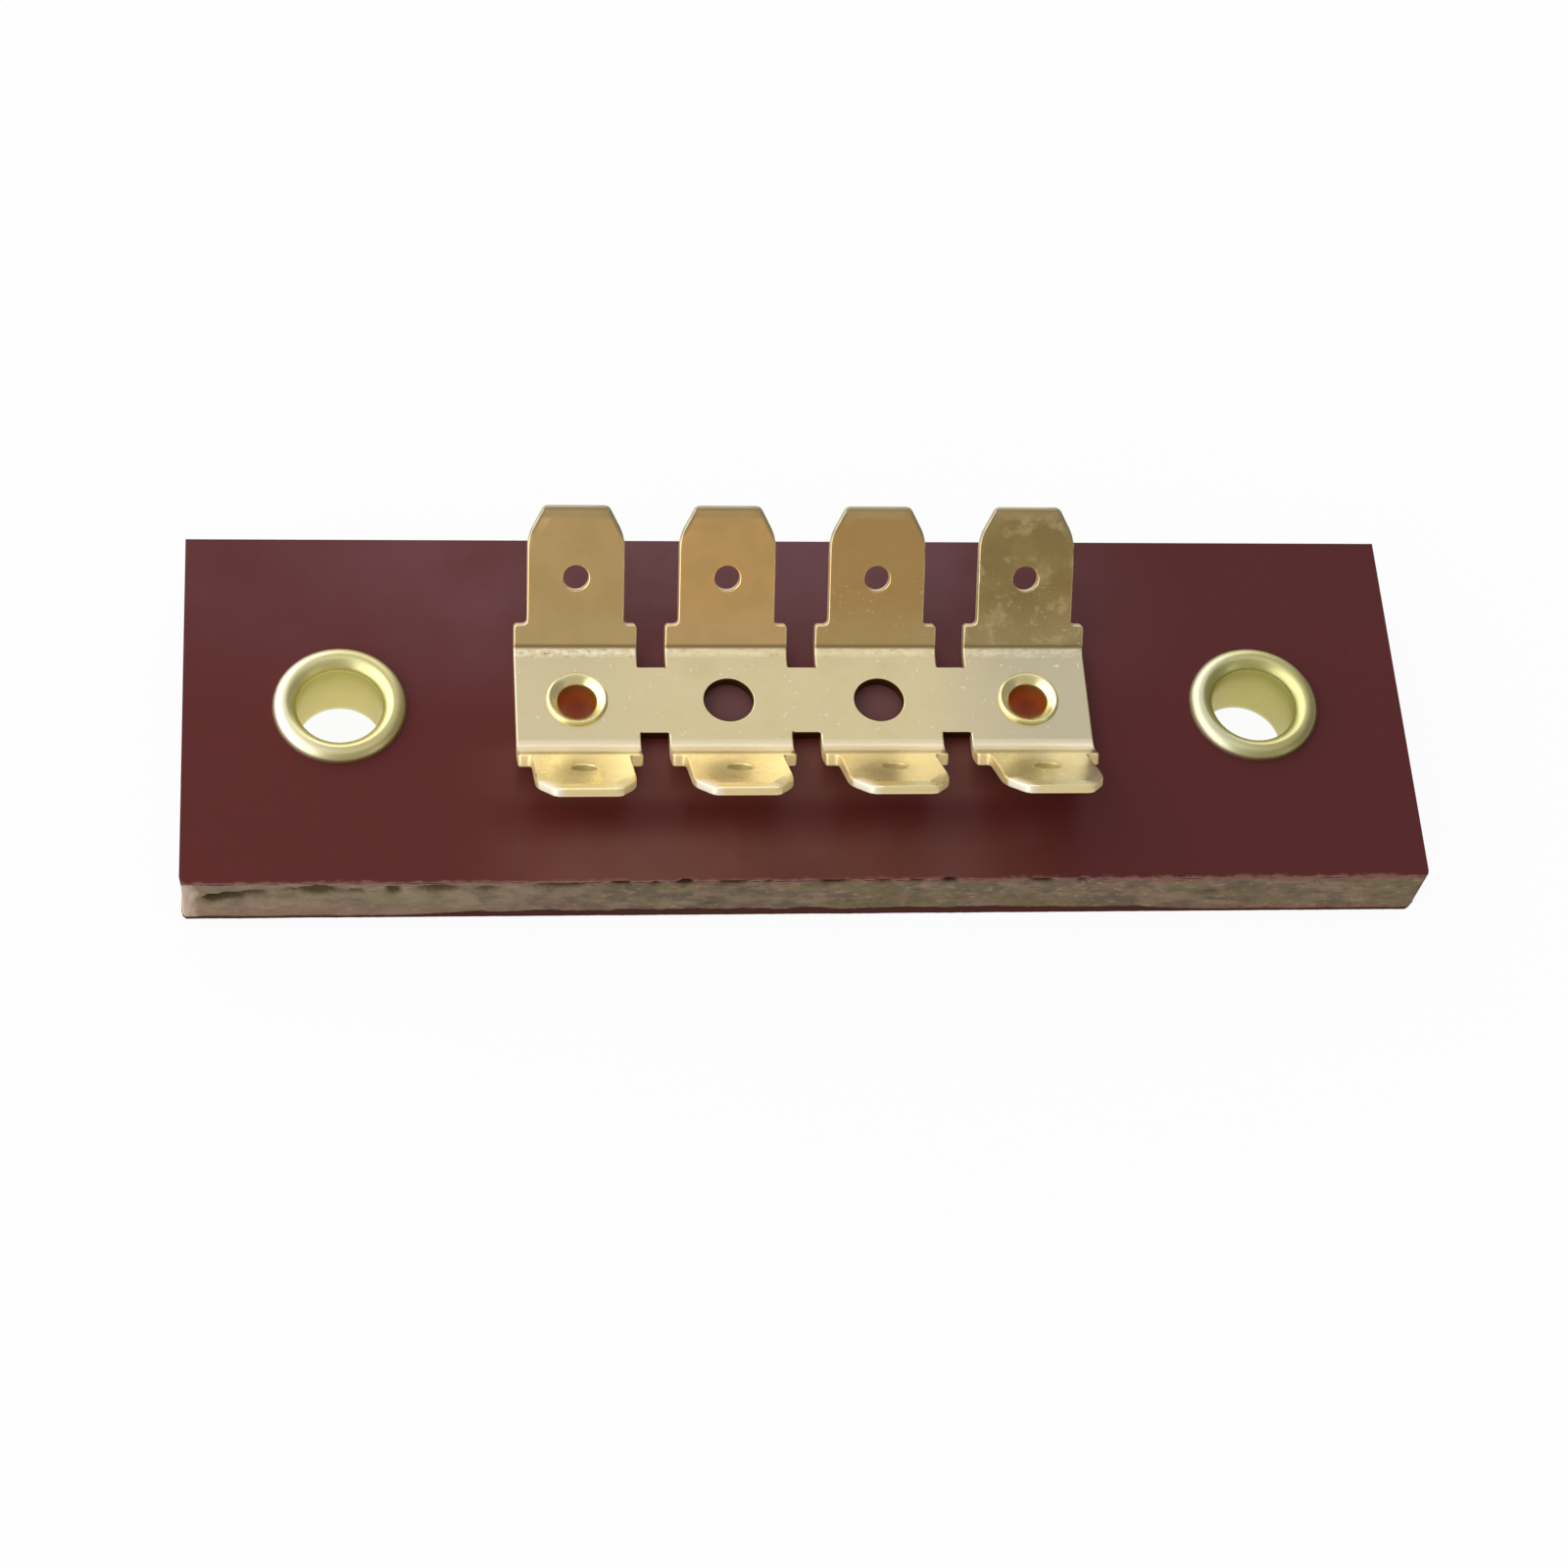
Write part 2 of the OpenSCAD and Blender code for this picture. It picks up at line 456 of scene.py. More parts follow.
edit(board)
cut_in_rows(board, 0, 2 * half_length, lambda point: on_rim(point, 0))
cut_in_rows(board, 1, 2 * half_width, lambda point: on_rim(point, 1))
cut_in_rows(board, 2, board_top - board_under, lambda point: on_rim(point, 0) or on_rim(point, 1))
clear_selection()
report(board)

# %% Close the faces and drill the board
EYELET_HOLE_R = 3.2 * MM
RIVET_HOLE_R = 1.6 * MM
EYELET_X = 30.0 * MM
PITCH = 9.85 * MM
SECTIONS = 4
RIVET_X = PITCH * (SECTIONS - 1) / 2
CUT_CLEAR = 1.0 * MM


def close_faces(piece):
    """Fills the open rectangle inside each rim with one flat face."""
    edit(piece)
    for height in (board_under, board_top):
        pick(piece, "EDGE", lambda edge: edge.is_boundary and abs(middle(edge).z - height) < TINY)
        bpy.ops.mesh.edge_face_add()
    turn_outwards()


close_faces(board)
for side in (-1, 1):
    for x, radius in ((EYELET_X, EYELET_HOLE_R), (RIVET_X, RIVET_HOLE_R)):
        drill(board, side * x, 0, radius, board_under - CUT_CLEAR, board_top + CUT_CLEAR)
report(board)

# %% [markdown]
# ### Pits, chips and saw marks
# The photograph shows long torn pits near the left end of the front edge, small dark chips under the
# red skin further right, and worn corners. A pit is a patch of vertices that is pressed in a few times,
# each time with a smaller patch, which leaves a bowl. Bisecting planes break the corners, and Displace
# modifiers with cloud textures roughen what is left. The saw left the lines along both faces nearly
# straight, so the roughness fades towards them.

# %% Press in pits
# Each pit has its place along X, its height above the floor, its length, how tall it is and its depth, in mm.
FRONT_PITS = [
    (-37.9, 2.95, 1.7, 1.25, 0.66),
    (-36.7, 3.20, 2.2, 1.30, 0.46),
    (-35.2, 3.60, 2.4, 1.10, 0.28),
    (-33.2, 3.95, 1.6, 0.90, 0.24),
    (-31.3, 3.85, 3.4, 1.55, 0.40),
    (-29.0, 3.70, 2.0, 1.10, 0.27),
    (-26.7, 3.80, 1.5, 1.45, 0.38),
    (-23.8, 3.95, 3.8, 1.35, 0.32),
    (-20.8, 3.90, 2.6, 1.10, 0.28),
    (-16.0, 4.25, 5.0, 1.00, 0.36),
    (-12.4, 4.58, 1.7, 0.90, 0.52),
    (-10.2, 4.50, 1.2, 0.70, 0.42),
    (-8.3, 4.62, 1.4, 1.05, 0.56),
    (-5.2, 4.60, 2.4, 0.85, 0.52),
    (-3.0, 4.60, 1.0, 0.65, 0.46),
    (1.2, 4.60, 2.7, 0.90, 0.54),
    (4.4, 4.65, 1.4, 0.70, 0.46),
    (6.5, 4.60, 1.5, 0.75, 0.48),
    (8.6, 4.62, 1.4, 0.95, 0.50),
    (14.6, 4.55, 2.1, 0.85, 0.46),
    (17.2, 4.60, 1.1, 0.65, 0.42),
    (26.0, 2.90, 1.8, 0.80, 0.22),
    (33.0, 2.60, 1.6, 0.70, 0.22),
]
PIT_STEPS = (1.0, 0.8, 0.6, 0.4)
PIT_SEED = 7
OTHER_PITS = 9
OTHER_SPAN = 0.95
OTHER_LENGTH = (0.8, 3.0)
OTHER_TALL = (0.3, 0.7)
OTHER_DEPTH = (0.15, 0.34)
LOWEST_PIT = board_under + 1.0 * MM
HIGHEST_PIT = board_top - 0.4 * MM


def outward_gap(point, axis, side):
    """How far a point lies inside the board's outer plane on one side."""
    return (half_length, half_width)[axis] - side * point[axis]


def press_pit(piece, axis, side, along, height, length, tall, depth):
    """Presses an oval patch of one edge inwards, in steps that grow smaller."""
    across = 1 - axis
    move = [0, 0, 0]
    move[axis] = -side * depth / len(PIT_STEPS)
    for share in PIT_STEPS:
        def in_patch(vertex):
            u = (vertex.co[across] - along) / (length / 2 * share)
            v = (vertex.co.z - height) / (tall / 2 * share)
            gap = outward_gap(vertex.co, axis, side)
            on_face = vertex.co.z > board_top - TINY and gap > GRAIN / 2
            return u * u + v * v < 1 and gap < RIM - TINY and not on_face
        if pick(piece, "VERT", in_patch):
            bpy.ops.transform.translate(value=move)


edit(board)
for pit in FRONT_PITS:
    press_pit(board, 1, -1, *(size * MM for size in pit))
draw = random.Random(PIT_SEED)
OTHER_EDGES = ((1, 1, half_length), (0, -1, half_width), (0, 1, half_width))
for axis, side, reach in OTHER_EDGES:
    for pit in range(OTHER_PITS):
        along = draw.uniform(-OTHER_SPAN, OTHER_SPAN) * reach
        height = draw.uniform(LOWEST_PIT, HIGHEST_PIT)
        sizes = [draw.uniform(*limits) * MM for limits in (OTHER_LENGTH, OTHER_TALL, OTHER_DEPTH)]
        press_pit(board, axis, side, along, height, *sizes)
print("pits pressed:", len(FRONT_PITS) + len(OTHER_EDGES) * OTHER_PITS)

# %% Break the corners
# How far from the lower corner each cut meets the front edge, the end edge and the upright edge, in mm.
RIGHT_CORNER_CUTS = [(0.10, 0.45, 30), (0.22, 0.25, 26), (0.40, 0.45, 1.9), (0.56, 0.60, 0.7)]
LEFT_CORNER_CUTS = [(0.12, 0.60, 30), (0.30, 0.30, 1.2)]


def break_corner(piece, side, cuts):
    """Cuts the left (-1) or right (1) front corner with steep planes."""
    corner = Vector((side * half_length, -half_width, board_under))
    for along, across, up in cuts:
        inner = corner - Vector((side * along * MM, 0, 0))
        back = corner + Vector((0, across * MM, 0))
        top = corner + Vector((0, 0, up * MM))
        outward = (back - inner).cross(top - inner) * side
        bpy.ops.mesh.select_all(action="SELECT")
        bpy.ops.mesh.bisect(plane_co=inner, plane_no=outward.normalized(), use_fill=True, clear_outer=True,
                            threshold=TINY)


break_corner(board, 1, RIGHT_CORNER_CUTS)
break_corner(board, -1, LEFT_CORNER_CUTS)
clear_selection()
report(board)

# %% Roughen the sawn edges
# The marks of the saw's teeth and of its wander: their depth, their size and their layers of noise.
SAW_TEETH = (0.10 * MM, 0.35 * MM, 3)
SAW_WANDER = (0.08 * MM, 3.5 * MM, 1)
STRAIGHT_BAND = 0.6 * MM
FRONT_LINE_SHARE = 0.35
OTHER_LINE_SHARE = 0.06
BOARD_CREASE = 35


def cloud_texture(name, size, layers):
    texture = bpy.data.textures.new(name, "CLOUDS")
    texture.noise_scale = size
    texture.noise_depth = layers
    return texture


def roughen(piece, axis, side, line_share):
    """Moves one sawn edge inwards by two cloud textures, less near the lines along both faces."""
    name = f"sawn_{axis}_{side}"
    group = piece.vertex_groups.new(name=name)
    for vertex in piece.data.vertices:
        if outward_gap(vertex.co, axis, side) < RIM - TINY:
            from_face = min(board_top - vertex.co.z, vertex.co.z - board_under)
            share = max(line_share, min(1.0, from_face / STRAIGHT_BAND))
            group.add([vertex.index], share, "REPLACE")
    for depth, size, layers in (SAW_TEETH, SAW_WANDER):
        apply_modifier(piece, "DISPLACE", texture=cloud_texture(name, size, layers), texture_coords="LOCAL",
                       direction="XY"[axis], vertex_group=name, mid_level=0.0, strength=-side * depth)


for axis in (0, 1):
    for side in (-1, 1):
        is_front = (axis, side) == (1, -1)
        roughen(board, axis, side, FRONT_LINE_SHARE if is_front else OTHER_LINE_SHARE)
board.vertex_groups.clear()
smooth(board, BOARD_CREASE)
apply_modifier(board, "WEIGHTED_NORMAL", keep_sharp=True)
report(board)

# %% [markdown]
# ## The brass strip
# A press cuts this strip from 0.8 mm brass sheet and folds the tabs up by 45 degrees. The script
# follows the press. A flat tab is cut out first, its tip is coined thinner so that a push-on connector
# slides over it, and the latch hole is punched. Its root face is then spun round the fold line, which
# makes the bend, and eight copies are joined to one flat web. A fine bevel at the end rounds all the
# sheared edges, because a perfectly sharp edge never catches light.

# %% Flat tab
SHEET = 0.8 * MM
SECTION_W = 8.0 * MM
TAB_W = 6.3 * MM
TAB_L = 7.8 * MM
SHOULDER_L = 1.4 * MM
SHOULDER_R = 0.3 * MM
SHOULDER_CORNER = 0.25 * MM
TIP_W = 4.2 * MM
TIP_L = 2.0 * MM
TIP_R = 0.45 * MM
TIP_SIDE_R = 2.6 * MM
FOLD_R = 1.0 * MM
TAB_END = SHOULDER_L + TAB_L
TIP_ROOT = TAB_END - TIP_L
TIP_STEP = (TAB_W - TIP_W) / 2
SHEET_UNDER = -FOLD_R - SHEET
STRAIGHT = math.radians(1)


def flat_outline():
    """One flat tab with its shoulders. The fold line is at the origin and the tab points to +Y."""
    clear_selection()
    bpy.ops.mesh.primitive_plane_add(size=1, location=(0, SHOULDER_L / 2, SHEET_UNDER))
    tab = bpy.context.object
    tab.scale = (SECTION_W, SHOULDER_L, 1)
    apply_place(tab)
    edit(tab)
    for side in (-1, 1):
        bpy.ops.mesh.select_all(action="SELECT")
        bpy.ops.mesh.bisect(plane_co=(side * TAB_W / 2, 0, 0), plane_no=(1, 0, 0), threshold=TINY)
    pick(tab, "EDGE", lambda edge: middle(edge).y > SHOULDER_L - TINY and abs(middle(edge).x) < TAB_W / 4)
    bpy.ops.mesh.extrude_edges_move(TRANSFORM_OT_translate={"value": (0, TAB_L, 0)})
    for side in (-1, 1):
        bpy.ops.mesh.select_all(action="SELECT")
        bpy.ops.mesh.bisect(plane_co=(side * TIP_W / 2, TAB_END, 0), plane_no=(side * TIP_L, TIP_STEP, 0),
                            clear_outer=True, threshold=TINY)
    bpy.ops.mesh.select_all(action="SELECT")
    bpy.ops.mesh.dissolve_limited(angle_limit=STRAIGHT)
    return tab


def thicken():
    """Pulls the flat sheet that is being edited up to its thickness."""
    bpy.ops.mesh.select_all(action="SELECT")
    bpy.ops.mesh.extrude_region_move(TRANSFORM_OT_translate={"value": (0, 0, SHEET)})
    turn_outwards()


tab_blank = flat_outline()
thicken()
clear_selection()
report(tab_blank)

# %% Round the tab's corners
CORNER_STEPS = 5
NEAR = 10 * TINY


def round_corner(piece, x, y, radius, turn):
    """Rounds the two upright edges at +x and -x. The outline turns there by an angle in degrees."""
    pick(piece, "EDGE", lambda edge: runs_along(edge, 2) and abs(abs(middle(edge).x) - x) < NEAR
         and abs(middle(edge).y - y) < NEAR)
    reach = radius * math.tan(math.radians(turn) / 2)
    bpy.ops.mesh.bevel(offset=reach, offset_type="OFFSET", segments=CORNER_STEPS, affect="EDGES")


slant_turn = math.degrees(math.atan2(TIP_STEP, TIP_L))
edit(tab_blank)
round_corner(tab_blank, TIP_W / 2, TAB_END, TIP_R, 90 - slant_turn)
round_corner(tab_blank, TAB_W / 2, TIP_ROOT, TIP_SIDE_R, slant_turn)
round_corner(tab_blank, TAB_W / 2, SHOULDER_L, SHOULDER_R, 90)
round_corner(tab_blank, SECTION_W / 2, SHOULDER_L, SHOULDER_CORNER, 90)
clear_selection()
report(tab_blank)

# %% Coin the tip and punch the latch hole
COIN_L = 0.75 * MM
COIN_DROP = 0.15 * MM
COIN_LEAST = math.radians(5)
COIN_MOST = math.radians(20)
LATCH_R = 0.825 * MM
LATCH_SIDES = 40
LATCH_FROM_TIP = 4.7 * MM

COIN_LINES = [(Vector((0, TAB_END, 0)), Vector((0, 1, 0)))]
for side in (-1, 1):
    across = Vector((side * TIP_L, TIP_STEP, 0)).normalized()
    COIN_LINES.append((Vector((side * TIP_W / 2, TAB_END, 0)), across))


def score(outer, normal):
    """Cuts a line into the tab, set back from an outer line by the length of the coined slope."""
    bpy.ops.mesh.select_all(action="SELECT")
    bpy.ops.mesh.bisect(plane_co=outer - normal * COIN_L, plane_no=normal, threshold=TINY)


def coin_share(vertex):
    """How far a vertex lies down the coined slope: 0 on the flat of the tab, 1 at its outer line."""
    beyond = max((vertex.co - outer).dot(normal) / COIN_L + 1 for outer, normal in COIN_LINES)
    return round(min(1.0, max(0.0, beyond)), 2)


def on_coin_line(edge):
    """Whether an edge is the line where the flat of the tab turns into the coined slope."""
    flat = edge.is_manifold and all(abs(face.normal.z) > FLAT for face in edge.link_faces)
    return flat and COIN_LEAST < edge.calc_face_angle() < COIN_MOST


edit(tab_blank)
for outer, normal in COIN_LINES:
    score(outer, normal)
shares = {coin_share(vertex) for vertex in bmesh.from_edit_mesh(tab_blank.data).verts}
for share in sorted(shares - {0.0}):
    pick(tab_blank, "VERT", lambda vertex: coin_share(vertex) == share)
    thinner = 1 - 2 * share * COIN_DROP / SHEET
    bpy.ops.transform.resize(value=(1, 1, thinner), center_override=(0, 0, SHEET_UNDER + SHEET / 2))
turn_outwards()
coin_lines = pick(tab_blank, "EDGE", on_coin_line)
bpy.ops.mesh.mark_sharp()
drill(tab_blank, 0, TAB_END - LATCH_FROM_TIP, LATCH_R, SHEET_UNDER - CUT_CLEAR,
      SHEET_UNDER + SHEET + CUT_CLEAR, LATCH_SIDES)
print("coined steps:", len(shares) - 1, "coin lines:", coin_lines)
report(tab_blank)

# %% Bend the copies
FOLD_ANGLE = 45.0
FOLD = math.radians(FOLD_ANGLE)
FOLD_STEPS = 12
FOLD_SPAN = 7.3 * MM
REAR_SPRING = (0.0, -0.2, -0.4, -0.1)
FRONT_SPRING = (-0.7, -0.35, -0.1, 0.0)

fold_z = board_top + SHEET + FOLD_R
fold_y = FOLD_SPAN / 2 - FOLD_R * math.tan(FOLD / 2)


def section_x(section):
    return PITCH * (section - (SECTIONS - 1) / 2)


def bent_tab(angle, x, y, turn):
    """A copy of the flat tab with its root face spun round the fold line, set on the web's edge."""
    tab = tab_blank.copy()
    tab.data = tab_blank.data.copy()
    bpy.context.scene.collection.objects.link(tab)
    edit(tab)
    pick(tab, "FACE", lambda face: abs(face.calc_center_median().y) < TINY)
    bpy.ops.mesh.spin(steps=FOLD_STEPS, angle=math.radians(angle), center=(0, 0, 0), axis=(1, 0, 0))
    bpy.ops.mesh.delete(type="ONLY_FACE")
    clear_selection()
    tab.rotation_euler = (math.radians(angle), 0, turn)
    tab.location = (x, y, fold_z)
    apply_place(tab)
    return tab


tabs = []
for section in range(SECTIONS):
    tabs.append(bent_tab(FOLD_ANGLE + REAR_SPRING[section], section_x(section), fold_y, 0))
    tabs.append(bent_tab(FOLD_ANGLE + FRONT_SPRING[section], section_x(section), -fold_y, math.pi))
bpy.data.objects.remove(tab_blank)
print("bent tabs:", len(tabs))

# %% Flat web
NECK_W = 5.0 * MM
WEB_HOLE_R = 1.6 * MM

strip_low, strip_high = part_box("terminal_strip")


def off_middle(x):
    """How far a place along X lies from the middle of the nearest section."""
    return min(abs(x - section_x(section)) for section in range(SECTIONS))


def in_slot(face):
    """Whether a face of the web lies in one of the open slots between two sections."""
    centre = face.calc_center_median()
    return off_middle(centre.x) > SECTION_W / 2 and abs(centre.y) > NECK_W / 2


def score_web():
    """Cuts the web's plane along every line where a slot starts or ends."""
    sides = [section_x(section) + side * SECTION_W / 2 for section in range(SECTIONS) for side in (-1, 1)]
    lines = [(x, (1, 0, 0)) for x in sides[1:-1]]
    lines += [(side * NECK_W / 2, (0, 1, 0)) for side in (-1, 1)]
    for offset, normal in lines:
        bpy.ops.mesh.select_all(action="SELECT")
        bpy.ops.mesh.bisect(plane_co=Vector(normal) * offset, plane_no=normal, threshold=TINY)


def flat_web():
    """The flat middle of the strip: a plate with slots between its sections and a hole in each section."""
    clear_selection()
    bpy.ops.mesh.primitive_plane_add(size=1, location=(0, 0, board_top))
    web = bpy.context.object
    web.name = "brass_strip"
    web.scale = (strip_high.x - strip_low.x, 2 * fold_y, 1)
    apply_place(web)
    edit(web)
    score_web()
    pick(web, "FACE", in_slot)
    bpy.ops.mesh.delete(type="FACE")
    bpy.ops.mesh.select_all(action="SELECT")
    bpy.ops.mesh.dissolve_limited(angle_limit=STRAIGHT)
    thicken()
    for section in range(SECTIONS):
        drill(web, section_x(section), 0, WEB_HOLE_R, board_top - CUT_CLEAR, board_top + SHEET + CUT_CLEAR)
    return web


strip = flat_web()
report(strip)

# %% Join the strip
MERGE = 0.004 * MM

edit(strip)
pick(strip, "FACE", lambda face: abs(face.normal.y) > FLAT
     and abs(face.calc_center_median().y) > fold_y - TINY)
bpy.ops.mesh.delete(type="ONLY_FACE")
clear_selection()
for tab in tabs:
    tab.select_set(True)
strip.select_set(True)
bpy.context.view_layer.objects.active = strip
bpy.ops.object.join()
edit(strip)
bpy.ops.mesh.select_all(action="SELECT")
bpy.ops.mesh.remove_doubles(threshold=MERGE)
turn_outwards()
clear_selection()
report(strip)

# %% Mark the walls
HOLE_MARGIN = 0.15 * MM
STEEP = 0.5
FACING = 0.7


def tab_reach(point):
    """How far a point lies from the fold line, along the tab on its side."""
    return (abs(point.y) - fold_y) * math.cos(FOLD) + (point.z - fold_z) * math.sin(FOLD)


def is_wall(face):
    """Whether a face is a wall that the press has cut, and not one of the two rolled faces of the sheet."""
    centre = face.calc_center_median()
    if abs(centre.y) < fold_y:
        return abs(face.normal.z) < STEEP
    if tab_reach(centre) < 0:
        return abs(face.normal.x) > STEEP
    sheet_normal = Vector((0, -math.copysign(math.sin(FOLD), centre.y), math.cos(FOLD)))
    return abs(face.normal.dot(sheet_normal)) < STEEP


def is_dark_wall(face):
    """Whether a wall of the web gets painted shade: round a hole, or at the end of a slot."""
    centre = face.calc_center_median()
    in_hole = math.hypot(off_middle(centre.x), centre.y) < WEB_HOLE_R + HOLE_MARGIN
    slot_end = abs(face.normal.y) > FACING and abs(centre.y) < fold_y
    return is_wall(face) and (in_hole or slot_end)


def mark_faces(piece, name, test):
    """Stores a face attribute that is 1 on the faces that pass a test, and returns how many they are."""
    edit(piece)
    count = pick(piece, "FACE", test)
    bpy.ops.object.mode_set(mode="OBJECT")
    mark = piece.data.attributes.new(name, "FLOAT", "FACE")
    for face in piece.data.polygons:
        mark.data[face.index].value = float(face.select)
    return count


clean_walls = mark_faces(strip, "sheared", lambda face: is_wall(face) and not is_dark_wall(face))
dark_walls = mark_faces(strip, "dark_wall", is_dark_wall)
print("clean walls:", clean_walls, "dark walls:", dark_walls)

# %% Round the sheared edges
SHEAR_ROUND = 0.18 * MM
SHEAR_STEPS = 3
SHEAR_ANGLE = math.radians(40)
BEVEL_MIDDLE = 0.8
STRIP_CREASE = 32


def settle_marks(piece):
    """Settles the marks that the middle faces of a bevel take by chance from either side. In a bend these
    faces count as rolled, and in the corners of a slot as dark."""
    marks = [piece.data.attributes[name].data for name in ("sheared", "dark_wall")]
    for face, clean, dark in zip(piece.data.polygons, *marks):
        if abs(face.normal.x) > BEVEL_MIDDLE:
            continue
        beside, out = off_middle(face.center.x), abs(face.center.y)
        if out > fold_y and tab_reach(face.center) < 0:
            clean.value = 0.0
        elif beside > SECTION_W / 2 + TINY and NECK_W / 2 + TINY < out < fold_y:
            dark.value = max(clean.value, dark.value)
            clean.value = 0.0


apply_modifier(strip, "BEVEL", width=SHEAR_ROUND, segments=SHEAR_STEPS, limit_method="ANGLE",
               angle_limit=SHEAR_ANGLE, miter_outer="MITER_ARC")
settle_marks(strip)
smooth(strip, STRIP_CREASE)
apply_modifier(strip, "WEIGHTED_NORMAL", keep_sharp=True)
report(strip)

# %% [markdown]
# ## Eyelets and rivets
# An eyelet is a thin brass tube whose two ends have been rolled outwards by a press. A lathe profile
# would do, but by hand it is quicker to start with a circle at the free edge of the rolled flange and
# to pull it, ring by ring, over the roll, down the bore, round the foot and back up the outside of the
# tube. The last ring meets the first one, and merging the two closes the mesh. The rivets are smaller
# tubes of the same kind with a wider funnel, so the same rings make both.

# %% Draw a tube's section
ROLL_STEPS = 9
ROUND = math.sqrt(0.5)


def roll(start, corner, end):
    """A quarter of an oval as (radius, height) points, which leaves start towards a corner and meets end."""
    points = []
    for step in range(ROLL_STEPS + 1):
        t = step / ROLL_STEPS
        shares = ((1 - t) ** 2, 2 * ROUND * t * (1 - t), t ** 2)
        mixed = [sum(s * p[i] for s, p in zip(shares, (start, corner, end))) / sum(shares) for i in (0, 1)]
        points.append(mixed)
    return points


def tube_section(bore_r, wall, top_z, flange_r, flange_h, crest_r, throat_r, funnel, lip, under_z,
                 foot_r, foot_h):
    """The outline of a set tube's section, from the free edge of its flange once round. The flange rolls
    over its crest into a funnel, which leaves the throat in a straight slope and turns over a small lip into
    the bore."""
    crest_z = top_z + flange_h
    lip_z = crest_z - funnel
    foot_z = under_z - foot_h
    slope = funnel / (throat_r - bore_r - lip)
    turn_z = lip_z - lip * slope
    section = roll((flange_r, top_z), (flange_r, crest_z), (crest_r, crest_z))
    section += roll((crest_r, crest_z), (throat_r, crest_z), (bore_r + lip, lip_z))
    section += roll((bore_r + lip, lip_z), (bore_r, turn_z), (bore_r, turn_z - lip))
    section += roll((bore_r, under_z), (bore_r, foot_z), (bore_r + foot_h, foot_z))
    section += roll((foot_r - foot_h, foot_z), (foot_r, foot_z), (foot_r, under_z))
    section += [(bore_r + wall, under_z), (bore_r + wall, top_z), (flange_r, top_z)]
    return section


# %% Pull a tube out of a circle
RING_SIDES = 96
TUBE_CREASE = 50


def pull_tube(name, section):
    """Pulls a ring once round a section and merges its two ends."""
    clear_selection()
    (radius, height), *further = section
    bpy.ops.mesh.primitive_circle_add(vertices=RING_SIDES, radius=radius, location=(0, 0, height))
    tube = bpy.context.object
    tube.name = name
    apply_place(tube)
    edit(tube)
    bpy.ops.mesh.select_all(action="SELECT")
    for next_radius, next_height in further:
        bpy.ops.mesh.extrude_region_move(TRANSFORM_OT_translate={"value": (0, 0, next_height - height)})
        grow = next_radius / radius
        bpy.ops.transform.resize(value=(grow, grow, 1), center_override=(0, 0, next_height))
        radius, height = next_radius, next_height
    bpy.ops.mesh.select_all(action="SELECT")
    bpy.ops.mesh.remove_doubles(threshold=TINY)
    turn_outwards()
    smooth(tube, TUBE_CREASE)
    report(tube)
    return tube


def set_copies(master, names, offset):
    """Two copies of a tube, each with its own mesh, at the left and at the right."""
    copies = []
    for name, side in zip(names, (-1, 1)):
        copy = master.copy()
        copy.data = master.data.copy()
        copy.name = name
        copy.location = (side * offset, 0, 0)
        bpy.context.scene.collection.objects.link(copy)
        apply_place(copy)
        copies.append(copy)
    bpy.data.objects.remove(master)
    return copies


# %% Mounting eyelets
EYELET_CREST_R = 3.52 * MM

eyelet = pull_tube("eyelet", tube_section(
    bore_r=2.75 * MM, wall=0.4 * MM, top_z=board_top, flange_r=4.3 * MM, flange_h=0.75 * MM,
    crest_r=EYELET_CREST_R, throat_r=3.18 * MM, funnel=0.46 * MM, lip=0.12 * MM,
    under_z=board_under, foot_r=4.1 * MM, foot_h=0.55 * MM))
eyelets = set_copies(eyelet, ("eyelet_left", "eyelet_right"), EYELET_X)

# %% Strip rivets
RIVET_CREST_R = 1.82 * MM

rivet = pull_tube("rivet", tube_section(
    bore_r=1.25 * MM, wall=0.3 * MM, top_z=board_top + SHEET, flange_r=2.0 * MM, flange_h=0.3 * MM,
    crest_r=RIVET_CREST_R, throat_r=1.72 * MM, funnel=0.36 * MM, lip=0.06 * MM,
    under_z=board_under, foot_r=2.1 * MM, foot_h=0.35 * MM))
rivets = set_copies(rivet, ("rivet_left", "rivet_right"), RIVET_X)

# %% [markdown]
# ## Finishes
# Each finish is built from procedural textures that read Object coordinates. All pieces sit at the
# origin with their place in the mesh, so those coordinates are simply the place on the real board, and
# a patch of tarnish can be put where the photograph shows one. From here on places are in millimetres.
# A value that ends in _X or _Y is where a soft step starts and ends along that axis, and one that ends
# in _REACH does the same for a distance, such as the depth below the top face or the way along a tab.
# Two more numbers are what the step goes from and to, and one more number says how soft both sides of a
# band are. A value that ends in _NOISE is a cloud's size, detail and stretch, and one that ends in
# _LEVELS is a soft step on such a cloud.

# %% Parts of a finish
NOISE_ROUGHNESS = 0.55


def start_finish(name):
    """A new material: its tree, its shader, the place of each point, and that place's X, Y and Z."""
    material = bpy.data.materials.new(name)
    material.use_nodes = True
    tree = material.node_tree
    metres = node(tree, "TexCoord").outputs["Object"]
    place = node(tree, "VectorMath", {"operation": "SCALE"}, Vector=metres, Scale=1 / MM).outputs[0]
    axes = node(tree, "SeparateXYZ", Vector=place).outputs
    return material, tree, tree.nodes["Principled BSDF"], place, axes


def cloud(tree, place, size, detail=3.0, stretch=(1, 1, 1)):
    """Noise with patches about as large as a size, drawn out along the axes by a stretch."""
    shape = tuple(1 / (size * s) for s in stretch)
    mapped = node(tree, "Mapping", Vector=place, Scale=shape).outputs[0]
    noise = node(tree, "TexNoise", Vector=mapped, Scale=1.0, Detail=detail, Roughness=NOISE_ROUGHNESS)
    return noise.outputs["Fac"]


